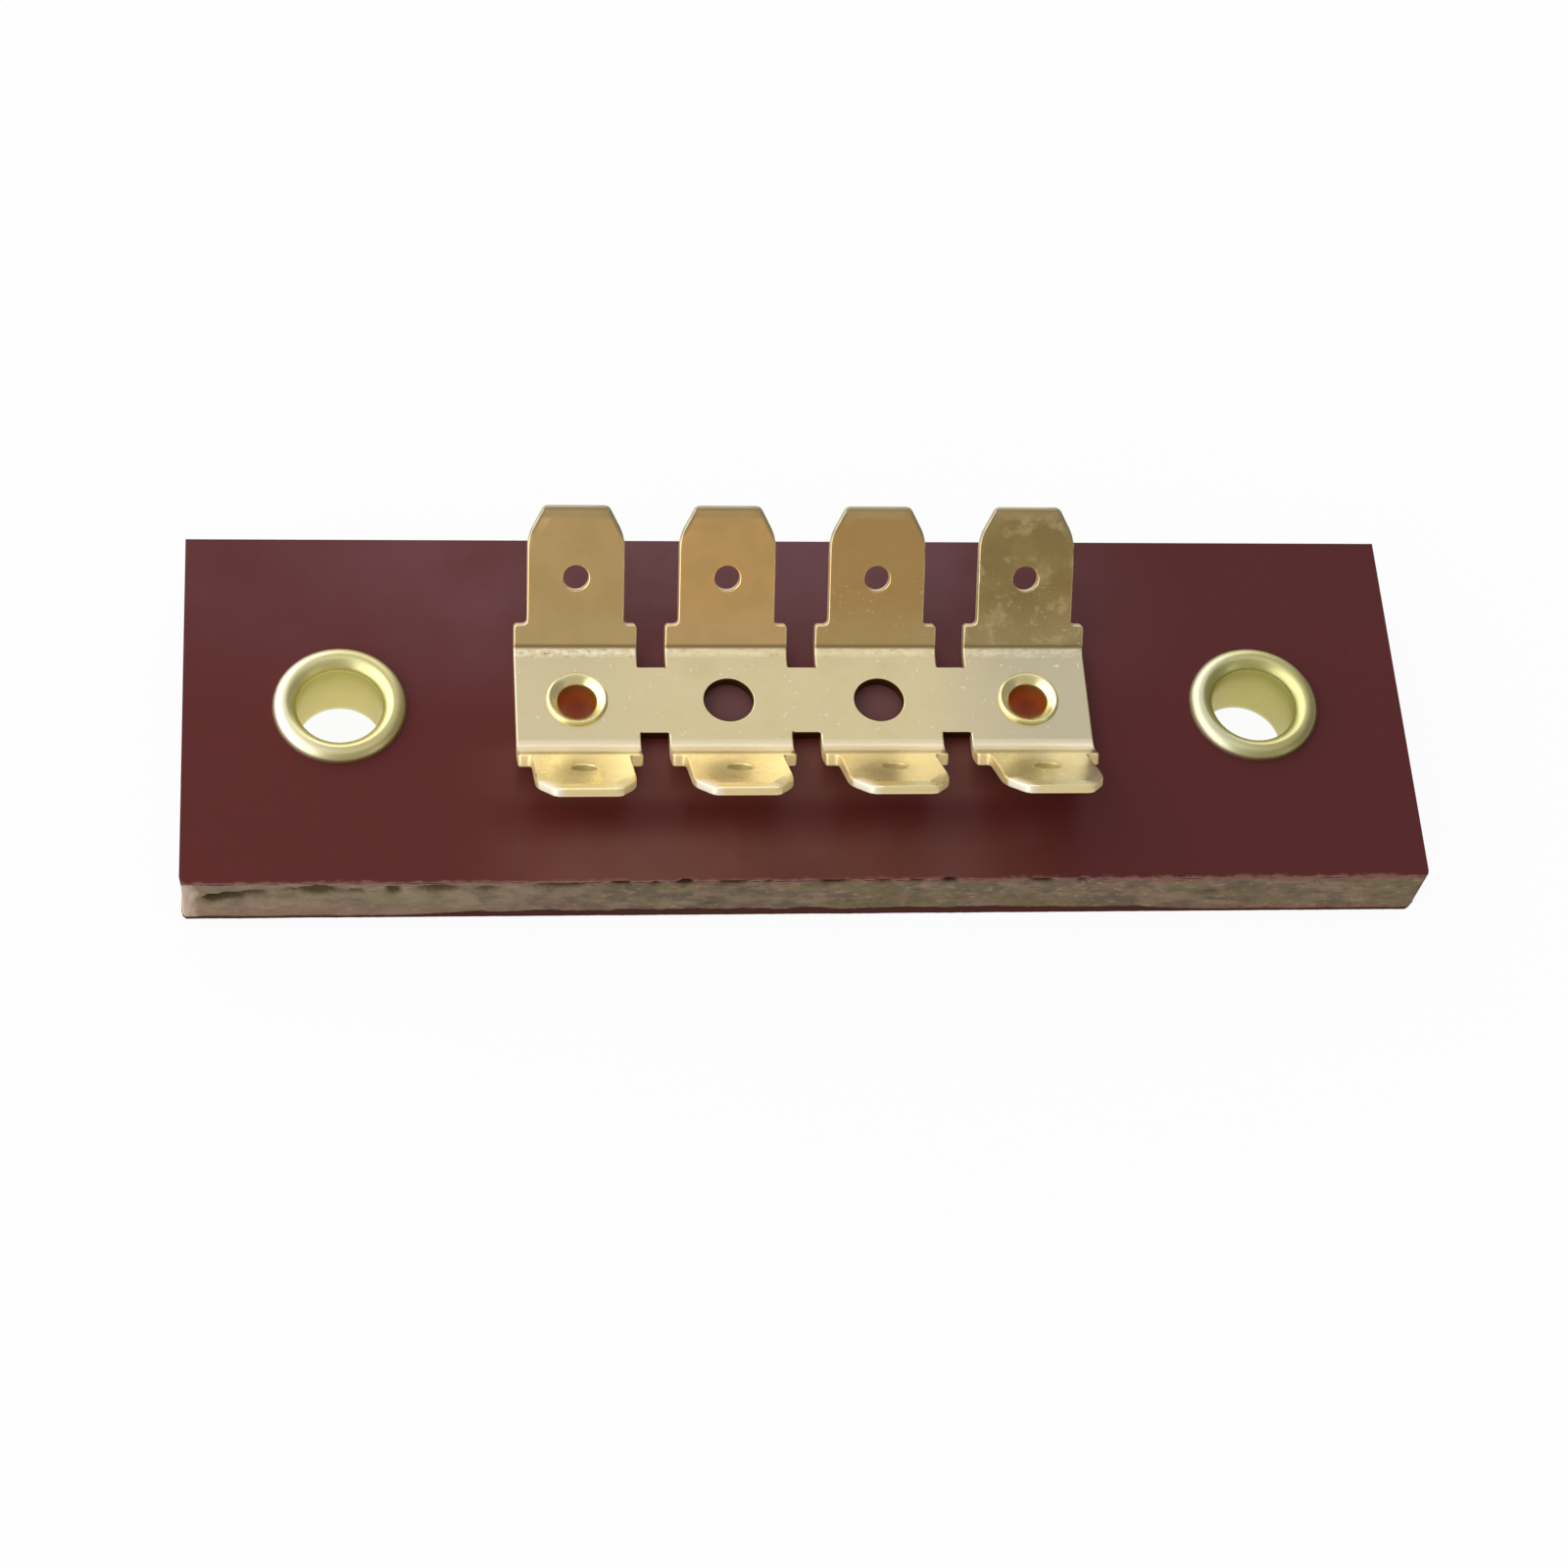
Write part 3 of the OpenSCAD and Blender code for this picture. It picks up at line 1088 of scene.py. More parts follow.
def bump(tree, height, depth):
    return node(tree, "Bump", Height=height, Distance=depth, Strength=1.0).outputs[0]


# %% Soft steps and layers of colour
def between(tree, value, low, high, out_low=0.0, out_high=1.0):
    """A soft step: out_low below low, out_high above high."""
    made = node(tree, "MapRange", {"interpolation_type": "SMOOTHSTEP"}, Value=value, From_Min=low,
                From_Max=high, To_Min=out_low, To_Max=out_high)
    return made.outputs[0]


def scaled(tree, mask, at_none, at_full):
    """A value that goes from one number to another as a mask goes from 0 to 1."""
    return between(tree, mask, 0.0, 1.0, at_none, at_full)


def band(tree, value, low, high, soft):
    """1 between two values, and 0 outside them."""
    rise = between(tree, value, low - soft, low + soft)
    fall = between(tree, value, high - soft, high + soft, 1.0, 0.0)
    return times(tree, rise, fall)


def minus(tree, first, second):
    return calculate(tree, "SUBTRACT", first, second)


def size_of(tree, value):
    return calculate(tree, "ABSOLUTE", value)


def distance(tree, x, y):
    """How far a point lies from an upright line, from its distances along X and Y."""
    return calculate(tree, "SQRT", plus(tree, times(tree, x, x), times(tree, y, y)))


def blend_colours(tree, share, first, second, how="MIX"):
    made = node(tree, "Mix", {"data_type": "RGBA", "blend_type": how})
    for socket, value in ((0, share), (6, first), (7, second)):
        feed(tree, made.inputs[socket], value)
    return made.outputs[2]


def lay_over(tree, colour, *layers):
    """Lays further colours over a first one, each where its mask says."""
    for mask, over in layers:
        colour = blend_colours(tree, mask, colour, over)
    return colour


# %% [markdown]
# ### Laminate
# The faces of the plate are smooth red resin. Painted light makes them lighter and warmer on the left,
# with a painted greyish sheen behind the strip and a painted brown reflection of the brass in front of it,
# and painted light lightens the bottom of the strip's open holes. The saw has opened the inside: mottled
# tan paper, pink next to both red skins, with light fibres that stand up and dark brown painted shade in
# the torn pits. One material holds both. Masks that follow the height tell the skins from the inside, and
# the distance from the board's outer planes tells a pit from the rest, so the colours always agree with
# the mesh.

# %% Red faces
# Painted light: the red is lighter and warmer on the left and darker on the right.
RED_LIT_LEFT = (0.108, 0.018, 0.016, 1)
RED_SHADED_RIGHT = (0.093, 0.0152, 0.0155, 1)
RED_X = (-40.0, 40.0)
# Painted sheen: a greyish bloom of light on the top face behind the strip.
RED_PAINTED_SHEEN = (0.164, 0.068, 0.080, 1)
BOARD_LIGHT_NOISE = (9.0, 4.0)
BOARD_LIGHT_LEVELS = (0.3, 0.7, 0.5, 1.0)
SHEEN_Y = (-2.0, 10.0)
SHEEN_LEFT_X = (-38.0, -10.0, 0.3, 1.0)
SHEEN_RIGHT_X = (8.0, 28.0, 1.0, 0.05)
# Painted reflection of the brass: brown in front of the strip and under the front tabs.
RED_PAINTED_REFLECTION = (0.170, 0.058, 0.044, 1)
TAB_REFLECTION_Y = (-11.0, -8.0, 1.0, 0.0)
TAB_REFLECTION_X = (-10.0, 8.0, 1.3, 0.65)
TAB_REFLECTION_SPAN_X = (-19.0, 13.0, 5.0)
UNDER_TABS_Y = (-7.0, -3.0, 0.8)
UNDER_TABS_SHARE = 0.6
# Painted light: the board is lighter at the bottom of the strip's open holes.
HOLE_PAINTED_LIGHT = (0.150, 0.058, 0.058, 1)
HOLE_LIGHT_REACH = (1.6, 1.9, 1.0, 0.0)
RED_FLECK = (0.135, 0.034, 0.030, 1)
FLECK_LEVELS = (0.55, 0.8, 0.0, 0.2)


def painted_hole_light(tree, axes):
    """Painted light at the bottom of the strip's two open holes."""
    off_x = minus(tree, size_of(tree, axes["X"]), PITCH / 2 / MM)
    return between(tree, distance(tree, off_x, axes["Y"]), *HOLE_LIGHT_REACH)


def face_red(tree, place, axes, flecks, on_top):
    """Red that is lighter and warmer on the left, as painted light. The top face has a painted grey sheen
    behind the strip, a painted brown reflection of the brass in front of it and under the front tabs, and
    painted light in the strip's holes, and both faces have fine flecks."""
    x, y = axes["X"], axes["Y"]
    clouds = times(tree, on_top, between(tree, cloud(tree, place, *BOARD_LIGHT_NOISE), *BOARD_LIGHT_LEVELS))
    ends = calculate(tree, "MINIMUM", between(tree, x, *SHEEN_LEFT_X), between(tree, x, *SHEEN_RIGHT_X))
    behind = times(tree, between(tree, y, *SHEEN_Y), clouds, ends)
    before = times(tree, between(tree, y, *TAB_REFLECTION_Y), clouds, between(tree, x, *TAB_REFLECTION_X))
    among = times(tree, band(tree, y, *UNDER_TABS_Y), scaled(tree, on_top, 0, UNDER_TABS_SHARE))
    brown = times(tree, largest(tree, before, among), band(tree, x, *TAB_REFLECTION_SPAN_X))
    hole_light = times(tree, on_top, painted_hole_light(tree, axes))
    red = blend_colours(tree, between(tree, x, *RED_X), RED_LIT_LEFT, RED_SHADED_RIGHT)
    return lay_over(tree, red, (behind, RED_PAINTED_SHEEN), (brown, RED_PAINTED_REFLECTION), (hole_light, HOLE_PAINTED_LIGHT),
                    (between(tree, flecks, *FLECK_LEVELS), RED_FLECK))


# %% Painted shade in the torn pits
# Painted shade in the pits: brown where shallow, near black where deep, and dark red next to the skin. The
# brown also colours the dark grit of the sawn edges.
GRIT_AND_PIT_SHADE_BROWN = (0.090, 0.062, 0.028, 1)
PIT_SHADE_DARK = (0.022, 0.013, 0.005, 1)
PIT_SHADE_RED = (0.050, 0.015, 0.009, 1)
SKIN_REACH = (0.7, 1.1, 1.0, 0.0)
SHALLOW_REACH = (0.16, 0.42)
DEEP_REACH = (0.46, 0.70)
CORNER_CUT = 2.2
CORNER_FADE = 0.5


def painted_pit_shade(tree, colour, axes, from_top):
    """Paints shade on what lies well inside the board's outer planes, except at the broken right corner: red
    under the skin, and brown below it, darkest where it lies deepest."""
    gap_x = minus(tree, half_length / MM, size_of(tree, axes["X"]))
    gap_y = minus(tree, half_width / MM, size_of(tree, axes["Y"]))
    gap = calculate(tree, "MINIMUM", gap_x, gap_y)
    corner = (half_length + half_width) / MM - CORNER_CUT
    whole = between(tree, minus(tree, axes["X"], axes["Y"]), corner, corner + CORNER_FADE, 1.0, 0.0)
    near_skin = between(tree, from_top, *SKIN_REACH)
    brown = blend_colours(tree, near_skin, GRIT_AND_PIT_SHADE_BROWN, PIT_SHADE_RED)
    dark = blend_colours(tree, near_skin, PIT_SHADE_DARK, PIT_SHADE_RED)
    shallow = times(tree, between(tree, gap, *SHALLOW_REACH), whole)
    deep = times(tree, between(tree, gap, *DEEP_REACH), whole)
    return lay_over(tree, colour, (shallow, brown), (deep, dark))


# %% Sawn edges
GREY_TAN = (0.160, 0.117, 0.080, 1)
PALE_TAN = (0.268, 0.194, 0.126, 1)
OLIVE_TAN = (0.205, 0.155, 0.075, 1)
PINK_TAN = (0.250, 0.118, 0.088, 1)
FIBRE_LIGHT = (0.400, 0.310, 0.205, 1)
END_CREAM = (0.660, 0.490, 0.385, 1)
MOTTLE_NOISE = (1.3, 4.0, (1.6, 1.6, 1))
MOTTLE_LEVELS = (0.38, 0.62)
BROAD_NOISE = (4.0, 2.0, (1.5, 1.5, 1))
OLIVE_LEVELS = (0.45, 0.62, 0.0, 0.75)
PINK_LEVELS = (0.30, 0.46, 0.4, 0.0)
TOP_PINK_REACH = (-0.15, 0.30, 0.95, 0.0)
UNDER_PINK_X = (-34.0, -16.0, 1.5, 0.5)
UNDER_PINK_REACH = (-0.3, 0.5, 0.7, 0.0)
GRIT_NOISE = (0.32, 3.0, (2.2, 2.2, 1))
GRIT_DARK_LEVELS = (0.30, 0.44, 0.5, 0.0)
GRIT_LIGHT_LEVELS = (0.56, 0.74, 0.0, 0.6)
PALE_X = (-28.0, -10.0, 0.7, 0.0)
UPRIGHT_NOISE = (0.5, 3.0, (1, 1, 3))
CREAM_FRAY = 2.2
LEFT_END = -half_length / MM
FRONT_LINE = -half_width / MM
CREAM_X = (LEFT_END + 1.2, LEFT_END + 2.4, 0.9, 0.0)
CREAM_Y = (FRONT_LINE + 0.4, FRONT_LINE + 1.4, 1.0, 0.0)


def cream_end(tree, place, axes):
    """The left end of the front edge, where upright fibres have been crushed pale."""
    fray = times(tree, cloud(tree, place, *UPRIGHT_NOISE), CREAM_FRAY)
    at_end = between(tree, plus(tree, axes["X"], fray), *CREAM_X)
    return times(tree, at_end, between(tree, axes["Y"], *CREAM_Y))


def sawn_colour(tree, place, axes, from_top, from_under):
    """Mottled tan, pink towards both skins and paler to the left, with light fibres and dark grit."""
    mottle = cloud(tree, place, *MOTTLE_NOISE)
    broad = cloud(tree, place, *BROAD_NOISE)
    grit = cloud(tree, place, *GRIT_NOISE)
    below_top = minus(tree, from_top, mottle)
    above_under = minus(tree, from_under, between(tree, axes["X"], *UNDER_PINK_X))
    pale = times(tree, between(tree, axes["X"], *PALE_X), mottle)
    tan = blend_colours(tree, between(tree, mottle, *MOTTLE_LEVELS), GREY_TAN, PALE_TAN)
    tan = lay_over(tree, tan,
                   (between(tree, broad, *OLIVE_LEVELS), OLIVE_TAN),
                   (between(tree, broad, *PINK_LEVELS), PINK_TAN),
                   (between(tree, below_top, *TOP_PINK_REACH), PINK_TAN),
                   (between(tree, above_under, *UNDER_PINK_REACH), PINK_TAN),
                   (between(tree, grit, *GRIT_DARK_LEVELS), GRIT_AND_PIT_SHADE_BROWN),
                   (between(tree, grit, *GRIT_LIGHT_LEVELS), FIBRE_LIGHT),
                   (pale, FIBRE_LIGHT),
                   (cream_end(tree, place, axes), END_CREAM))
    return painted_pit_shade(tree, tan, axes, from_top)


# %% Skins of the laminate
SKIN_NOISE = (0.9, 4.0, (2.2, 2.2, 1))
TOP_WAVE_LEVELS = (0.3, 0.7, 0.0, 0.22)
TOP_EDGE_REACH = (0.0, 0.12)
UNDER_SKIN_X = (18.0, 27.0, 0.62, 0.20)
UNDER_WAVE_LEVELS = (0.3, 0.7, 0.8, 1.2)
UNDER_EDGE_REACH = (0.0, 0.20)
WORN_NOISE = (0.5, 5.0, (1.6, 1, 1))
WORN_LEVELS = (0.38, 0.68, 0.0, 0.22)
WORN_GAP_REACH = (-0.12, 0.12, 0.65, 0.0)
WORN_REACH = (0.2, 0.4, 1.0, 0.0)


def between_skins(tree, place, axes, from_top, from_under):
    """1 on the sawn inside of the board, and 0 on its two red skins, whose edges are wavy."""
    skin = cloud(tree, place, *SKIN_NOISE)
    below_top = minus(tree, from_top, between(tree, skin, *TOP_WAVE_LEVELS))
    under_skin = between(tree, size_of(tree, axes["X"]), *UNDER_SKIN_X)
    wavy_skin = times(tree, under_skin, between(tree, skin, *UNDER_WAVE_LEVELS))
    above_under = minus(tree, from_under, wavy_skin)
    return calculate(tree, "MINIMUM", between(tree, below_top, *TOP_EDGE_REACH),
                     between(tree, above_under, *UNDER_EDGE_REACH))


def worn_line(tree, place, axes, from_top):
    """Where the red skin has worn off along the front line of the top face."""
    gap = plus(tree, axes["Y"], half_width / MM)
    ragged = between(tree, cloud(tree, place, *WORN_NOISE), *WORN_LEVELS)
    worn = between(tree, minus(tree, gap, ragged), *WORN_GAP_REACH)
    return times(tree, worn, between(tree, from_top, *WORN_REACH))


# %% Laminate
SAWN_RED = (0.072, 0.018, 0.014, 1)
SAWN_TOP_REACH = (0.10, 0.16)
SAWN_UNDER_REACH = (0.02, 0.06)
TOP_FACE_REACH = (1.0, 2.0, 1.0, 0.0)
FLECK_NOISE = (0.5, 3.0)
FACE_ROUGHNESS = 0.30
SAWN_ROUGHNESS = 0.85
LAMINATE_GLOSS = 0.16
FACE_WEAVE = 0.10
WEAVE_HEIGHT = 0.06 * MM


def laminate_finish():
    material, tree, shader, place, axes = start_finish("red_laminate")
    flecks = cloud(tree, place, *FLECK_NOISE)
    from_top = minus(tree, board_top / MM, axes["Z"])
    from_under = minus(tree, axes["Z"], board_under / MM)
    inside = between_skins(tree, place, axes, from_top, from_under)
    sawn_skin = calculate(tree, "MINIMUM", between(tree, from_top, *SAWN_TOP_REACH),
                          between(tree, from_under, *SAWN_UNDER_REACH))
    red = face_red(tree, place, axes, flecks, between(tree, from_top, *TOP_FACE_REACH))
    colour = lay_over(tree, red, (worn_line(tree, place, axes, from_top), PINK_TAN), (sawn_skin, SAWN_RED),
                      (inside, sawn_colour(tree, place, axes, from_top, from_under)))
    feed(tree, shader.inputs["Base Color"], colour)
    rough = scaled(tree, largest(tree, inside, sawn_skin), FACE_ROUGHNESS, SAWN_ROUGHNESS)
    feed(tree, shader.inputs["Roughness"], rough)
    shader.inputs["Specular IOR Level"].default_value = LAMINATE_GLOSS
    weave = times(tree, flecks, scaled(tree, inside, FACE_WEAVE, 1.0))
    feed(tree, shader.inputs["Normal"], bump(tree, weave, WEAVE_HEIGHT))
    return material


laminate = laminate_finish()
print("laminate nodes:", len(laminate.node_tree.nodes))

# %% [markdown]
# ### Brass
# The strip, the eyelets and the rivets are all brass, but they have not aged alike. The web is pale and
# clean. Each of the rear tabs has its own tarnish, darker towards the right partly as painted shade, the
# last one with dried water spots, and a dull rim of painted shade round its tip and on its tip walls. The
# front tabs are bright and darker towards the right as painted shade, with a painted reflection of the
# web's hole round the latch hole and a painted highlight on the left corner. Each front bend has a broad
# painted highlight and painted olive shade where the tab begins, and each rear bend ends in a crease of
# painted shade. The press has scuffed the sheet in the rear bends, and the walls that it sheared are
# rough. The walls round the web's holes and at the ends of the slots are darkened with painted shade. The
# eyelets have painted light on the left of each ring and painted shade on the right eyelet, and the
# rivets' bores have painted light and shade. Each of these is a mask on the place of a point, laid over
# the same base.

# %% Base brass
PATCH_NOISE = (3.0, 5.0)
DULL_TONE_LEVELS = (0.35, 0.75)
DULL_ROUGH_LEVELS = (0.3, 0.8)


def base_brass(tree, shader, place, bright, dull, roughness, dull_roughness):
    """Bright brass with soft cloudy tarnish: its tone and its roughness."""
    shader.inputs["Metallic"].default_value = 1.0
    patches = cloud(tree, place, *PATCH_NOISE)
    tone = blend_colours(tree, between(tree, patches, *DULL_TONE_LEVELS), bright, dull)
    return tone, between(tree, patches, *DULL_ROUGH_LEVELS, roughness, dull_roughness)


# %% Places on a tab
TAB_START = (fold_y + FOLD_R * math.sin(FOLD)) / MM
TAB_TIP = TAB_END / MM
SLANT_START = TIP_ROOT / MM
COIN_START = (TAB_END - COIN_L) / MM
LATCH_MIDDLE = (TAB_END - LATCH_FROM_TIP) / MM
LINE_SOFT = 0.1


def past(tree, value, line, low=0.0, high=1.0):
    """A step that is only just soft, at a line."""
    return between(tree, value, line - LINE_SOFT, line + LINE_SOFT, low, high)


def along_tab(tree, axes):
    """How far a point lies from the fold line along its tab, as tab_reach says for the mesh."""
    out = minus(tree, size_of(tree, axes["Y"]), fold_y / MM)
    up = minus(tree, axes["Z"], fold_z / MM)
    return plus(tree, times(tree, out, math.cos(FOLD)), times(tree, up, math.sin(FOLD)))


def off_section(tree, axes, shift):
    """How far a point lies from the middle of its section along X. A shift moves the middles left."""
    half_pitch = PITCH / 2 / MM
    folded = calculate(tree, "PINGPONG", plus(tree, axes["X"], shift), half_pitch)
    return minus(tree, half_pitch, folded)


# %% Tarnish and painted shade of the rear tabs
# Each rear tab's own tarnish. The tabs darken towards the right partly as painted shade.
TAB_TARNISH_AND_SHADE = [(0.80, 0.58, 0.27, 1), (0.88, 0.57, 0.24, 1), (0.65, 0.42, 0.165, 1), (0.41, 0.31, 0.135, 1)]
TARNISH_SHADE = (0.62, 0.47, 0.20, 1)
SHADE_NOISE = (2.2, 3.0)
SHADE_LEVELS = (0.35, 0.7, 0.0, 0.35)
WATER_SPOT = (0.62, 0.52, 0.28, 1)
SPOT_NOISE = (1.5, 6.0)
SPOT_LEVELS = (0.50, 0.64)
SPOT_GRAIN_NOISE = (0.35, 3.0)
SPOT_GRAIN_LEVELS = (0.38, 0.60, 0.3, 1.0)
LAST_TAB = section_x(SECTIONS - 1) / MM
SPOT_X = (LAST_TAB - 5.0, LAST_TAB - 4.8, 0.10, 1.0)
TAB_ROOT = (0.78, 0.68, 0.42, 1)
ROOT_REACH = (0.5, 3.5, 0.28, 0.0)
COIN_SHADE = (0.56, 0.43, 0.22, 1)
COIN_SHARE = 0.65
NICK_LIGHT = (0.86, 0.74, 0.46, 1)
NICK_NOISE = (0.22, 2.0)
NICK_LEVELS = (0.64, 0.72, 0.0, 0.7)
NICK_X = (0.0, 1.0)
NICK_REACH = (3.5, 5.5, 1.0, 0.2)


def own_tarnish_and_shade(tree, axes):
    """A colour for each rear tab, from left to right, darker towards the right partly as painted shade."""
    colour = TAB_TARNISH_AND_SHADE[0]
    for section in range(1, SECTIONS):
        split = (section_x(section - 1) + section_x(section)) / 2 / MM
        colour = blend_colours(tree, past(tree, axes["X"], split), colour, TAB_TARNISH_AND_SHADE[section])
    return colour


def rear_tarnish(tree, place, axes, reach):
    """The rear tabs: their own tarnish, darker towards the right partly as painted shade, with a paler root
    and a darker coined tip, dried water spots on the last one, and small bright nicks on the two at the
    right."""
    shade = between(tree, cloud(tree, place, *SHADE_NOISE), *SHADE_LEVELS)
    spots = times(tree, between(tree, cloud(tree, place, *SPOT_NOISE), *SPOT_LEVELS),
                  between(tree, cloud(tree, place, *SPOT_GRAIN_NOISE), *SPOT_GRAIN_LEVELS),
                  between(tree, axes["X"], *SPOT_X))
    nicks = times(tree, between(tree, cloud(tree, place, *NICK_NOISE), *NICK_LEVELS),
                  between(tree, axes["X"], *NICK_X), between(tree, reach, *NICK_REACH))
    return lay_over(tree, own_tarnish_and_shade(tree, axes), (shade, TARNISH_SHADE), (spots, WATER_SPOT),
                    (between(tree, reach, *ROOT_REACH), TAB_ROOT),
                    (past(tree, reach, COIN_START, 0.0, COIN_SHARE), COIN_SHADE), (nicks, NICK_LIGHT))


# %% Painted reflections, painted bend light and scuffs
# Painted reflection of the web's hole in each front tab, round its latch hole.
HOLE_REFLECTION_OLIVE = (0.38, 0.32, 0.09, 1)
HOLE_REFLECTION_LEFT = 0.5
HOLE_REFLECTION_PAST_LATCH = 0.5
HOLE_REFLECTION_HALF_W = 2.0
HOLE_REFLECTION_HALF_L = 2.6
HOLE_REFLECTION_NOISE = (1.2, 3.0)
HOLE_REFLECTION_FRAY = 1.6
HOLE_REFLECTION_REACH = (0.9, 2.0, 0.2, 0.0)
# Painted highlight: a broad cream band on each front bend, and painted olive shade where the tab begins.
BEND_PAINTED_HIGHLIGHT = (0.84, 0.73, 0.52, 1)
BEND_Y = (-fold_y / MM, -fold_y / MM + 0.35, 1.0, 0.0)
BEND_HIGHLIGHT_REACH = (0.0, 0.5, 0.85, 0.0)
BEND_PAINTED_SHADE = (0.30, 0.25, 0.10, 1)
BEND_SHADE_REACH = (0.45, 1.15, 0.30)
BEND_SHADE_SHARE = 0.9
SCUFF_LIGHT = (0.95, 0.86, 0.66, 1)
SCUFF_DARK = (0.46, 0.36, 0.20, 1)
SCUFF_X = (-10.5, -9.5, 1.0, 0.45)
SCUFF_LIGHT_LEVELS = (0.46, 0.60)
SCUFF_DARK_LEVELS = (0.32, 0.42, 0.9, 0.0)


def painted_hole_reflection(tree, place, axes, reach):
    """A painted reflection of the web's hole round the latch hole of each front tab, a little left of its
    middle.
    """
    across = calculate(tree, "DIVIDE", off_section(tree, axes, HOLE_REFLECTION_LEFT), HOLE_REFLECTION_HALF_W)
    along = calculate(tree, "DIVIDE", minus(tree, reach, LATCH_MIDDLE + HOLE_REFLECTION_PAST_LATCH), HOLE_REFLECTION_HALF_L)
    far = plus(tree, times(tree, across, across), times(tree, along, along))
    fray = times(tree, cloud(tree, place, *HOLE_REFLECTION_NOISE), HOLE_REFLECTION_FRAY)
    return between(tree, plus(tree, far, fray), *HOLE_REFLECTION_REACH)


def front_bend_painted_light(tree, axes, reach):
    """The front bends: a broad cream band of painted highlight, and painted olive shade where the tab begins.
    """
    before = between(tree, axes["Y"], *BEND_Y)
    bend_highlight = times(tree, before, between(tree, reach, *BEND_HIGHLIGHT_REACH))
    bend_shade = times(tree, before, band(tree, reach, *BEND_SHADE_REACH), BEND_SHADE_SHARE)
    return bend_highlight, bend_shade


def scuffs(tree, axes, flecks, scuffed):
    """Light and dark flecks where the press has rubbed the rear bends, most of them on the first section."""
    share = times(tree, scuffed, between(tree, axes["X"], *SCUFF_X))
    light = times(tree, share, between(tree, flecks, *SCUFF_LIGHT_LEVELS))
    dark = times(tree, share, between(tree, flecks, *SCUFF_DARK_LEVELS))
    return light, dark


# %% Rolled faces of the strip
WEB_GREY = (0.79, 0.69, 0.445, 1)
WEB_GREY_X = (-15.0, -8.0, 0.7, 0.0)
WEB_SHADE = (0.68, 0.61, 0.43, 1)
WEB_SHADE_X = (6.0, 16.0, 0.0, 1.0)
SPECK_LIGHT = (0.96, 0.90, 0.72, 1)
SPECK_NOISE = (0.35, 1.0)
SPECK_LEVELS = (0.70, 0.76, 0.0, 0.8)
FRONT_BRASS = (0.92, 0.80, 0.42, 1)
# Painted shade: the front tabs darken towards the right.
FRONT_SHADED_RIGHT = (0.62, 0.53, 0.27, 1)
FRONT_X = (-9.0, 9.0)
# Painted shade in the crease where each rear bend meets its tab.
CREASE_PAINTED_SHADE = (0.30, 0.22, 0.10, 1)
CREASE_Y = (TAB_START - 0.08, TAB_START + 0.08, 0.08)
CREASE_SHARE = 0.85


def rolled_tone(tree, place, axes, tone, flecks, scuffed, reach, front):
    """The colour of the strip's rolled faces: web, rear bends and tabs."""
    specks = between(tree, cloud(tree, place, *SPECK_NOISE), *SPECK_LEVELS)
    rear = past(tree, axes["Y"], TAB_START)
    front_tone = blend_colours(tree, between(tree, axes["X"], *FRONT_X), FRONT_BRASS, FRONT_SHADED_RIGHT)
    # The painted reflection of the web's hole on the front tabs.
    hole_reflection = times(tree, front, painted_hole_reflection(tree, place, axes, reach))
    light, dark = scuffs(tree, axes, flecks, scuffed)
    # The painted shade in the rear crease.
    crease_shade = times(tree, band(tree, axes["Y"], *CREASE_Y), CREASE_SHARE)
    return lay_over(tree, tone,
                    (between(tree, axes["X"], *WEB_GREY_X), WEB_GREY),
                    (between(tree, axes["X"], *WEB_SHADE_X), WEB_SHADE),
                    (specks, SPECK_LIGHT),
                    (rear, rear_tarnish(tree, place, axes, reach)),
                    (front, front_tone),
                    (hole_reflection, HOLE_REFLECTION_OLIVE),
                    (light, SCUFF_LIGHT),
                    (dark, SCUFF_DARK),
                    (crease_shade, CREASE_PAINTED_SHADE))


# %% Latch holes and tips
LATCH_HALF_X = (0.95, 1.05, 1.0, 0.0)
LATCH_SPAN_REACH = (LATCH_MIDDLE - 1.1, LATCH_MIDDLE + 1.1, LINE_SOFT)
CORNER_HIGHLIGHT_REACH = (0.15, 0.8, 1.0, 0.0)
CORNER_HIGHLIGHT_START_REACH = (SLANT_START - 0.2, SLANT_START + 0.3)
RIM_WIDTH = 0.36
RIM_SHARE = 0.9
RIM_REACH = (RIM_WIDTH / 3, RIM_WIDTH, RIM_SHARE, 0.0)
RIM_START_REACH = (SLANT_START - 0.5, SLANT_START + 0.3)
RIM_END_REACH = (TAB_TIP - RIM_WIDTH, TAB_TIP - RIM_WIDTH / 3, 0.0, RIM_SHARE)


def latch_walls(tree, axes, reach, front):
    """The walls of the front tabs' latch holes."""
    near = between(tree, off_section(tree, axes, 0.0), *LATCH_HALF_X)
    return times(tree, near, band(tree, reach, *LATCH_SPAN_REACH), front)


def inside_slant(tree, beside, reach):
    """How far inside a tip's slanting edge a point lies, from its distance beside the section's middle."""
    slant = math.hypot(TIP_L, TIP_STEP)
    across, along = TIP_L / slant, TIP_STEP / slant
    edge = (TAB_W / 2 * across + TIP_ROOT * along) / MM
    return minus(tree, edge, plus(tree, times(tree, beside, across), times(tree, reach, along)))


def painted_corner_highlight(tree, axes, reach, front):
    """A painted highlight on the left slanting corner of each front tip."""
    pitch = PITCH / MM
    in_section = calculate(tree, "FLOORED_MODULO", plus(tree, axes["X"], 2 * pitch), pitch)
    inside = inside_slant(tree, minus(tree, pitch / 2, in_section), reach)
    at_edge = between(tree, inside, *CORNER_HIGHLIGHT_REACH)
    return times(tree, at_edge, between(tree, reach, *CORNER_HIGHLIGHT_START_REACH), front)


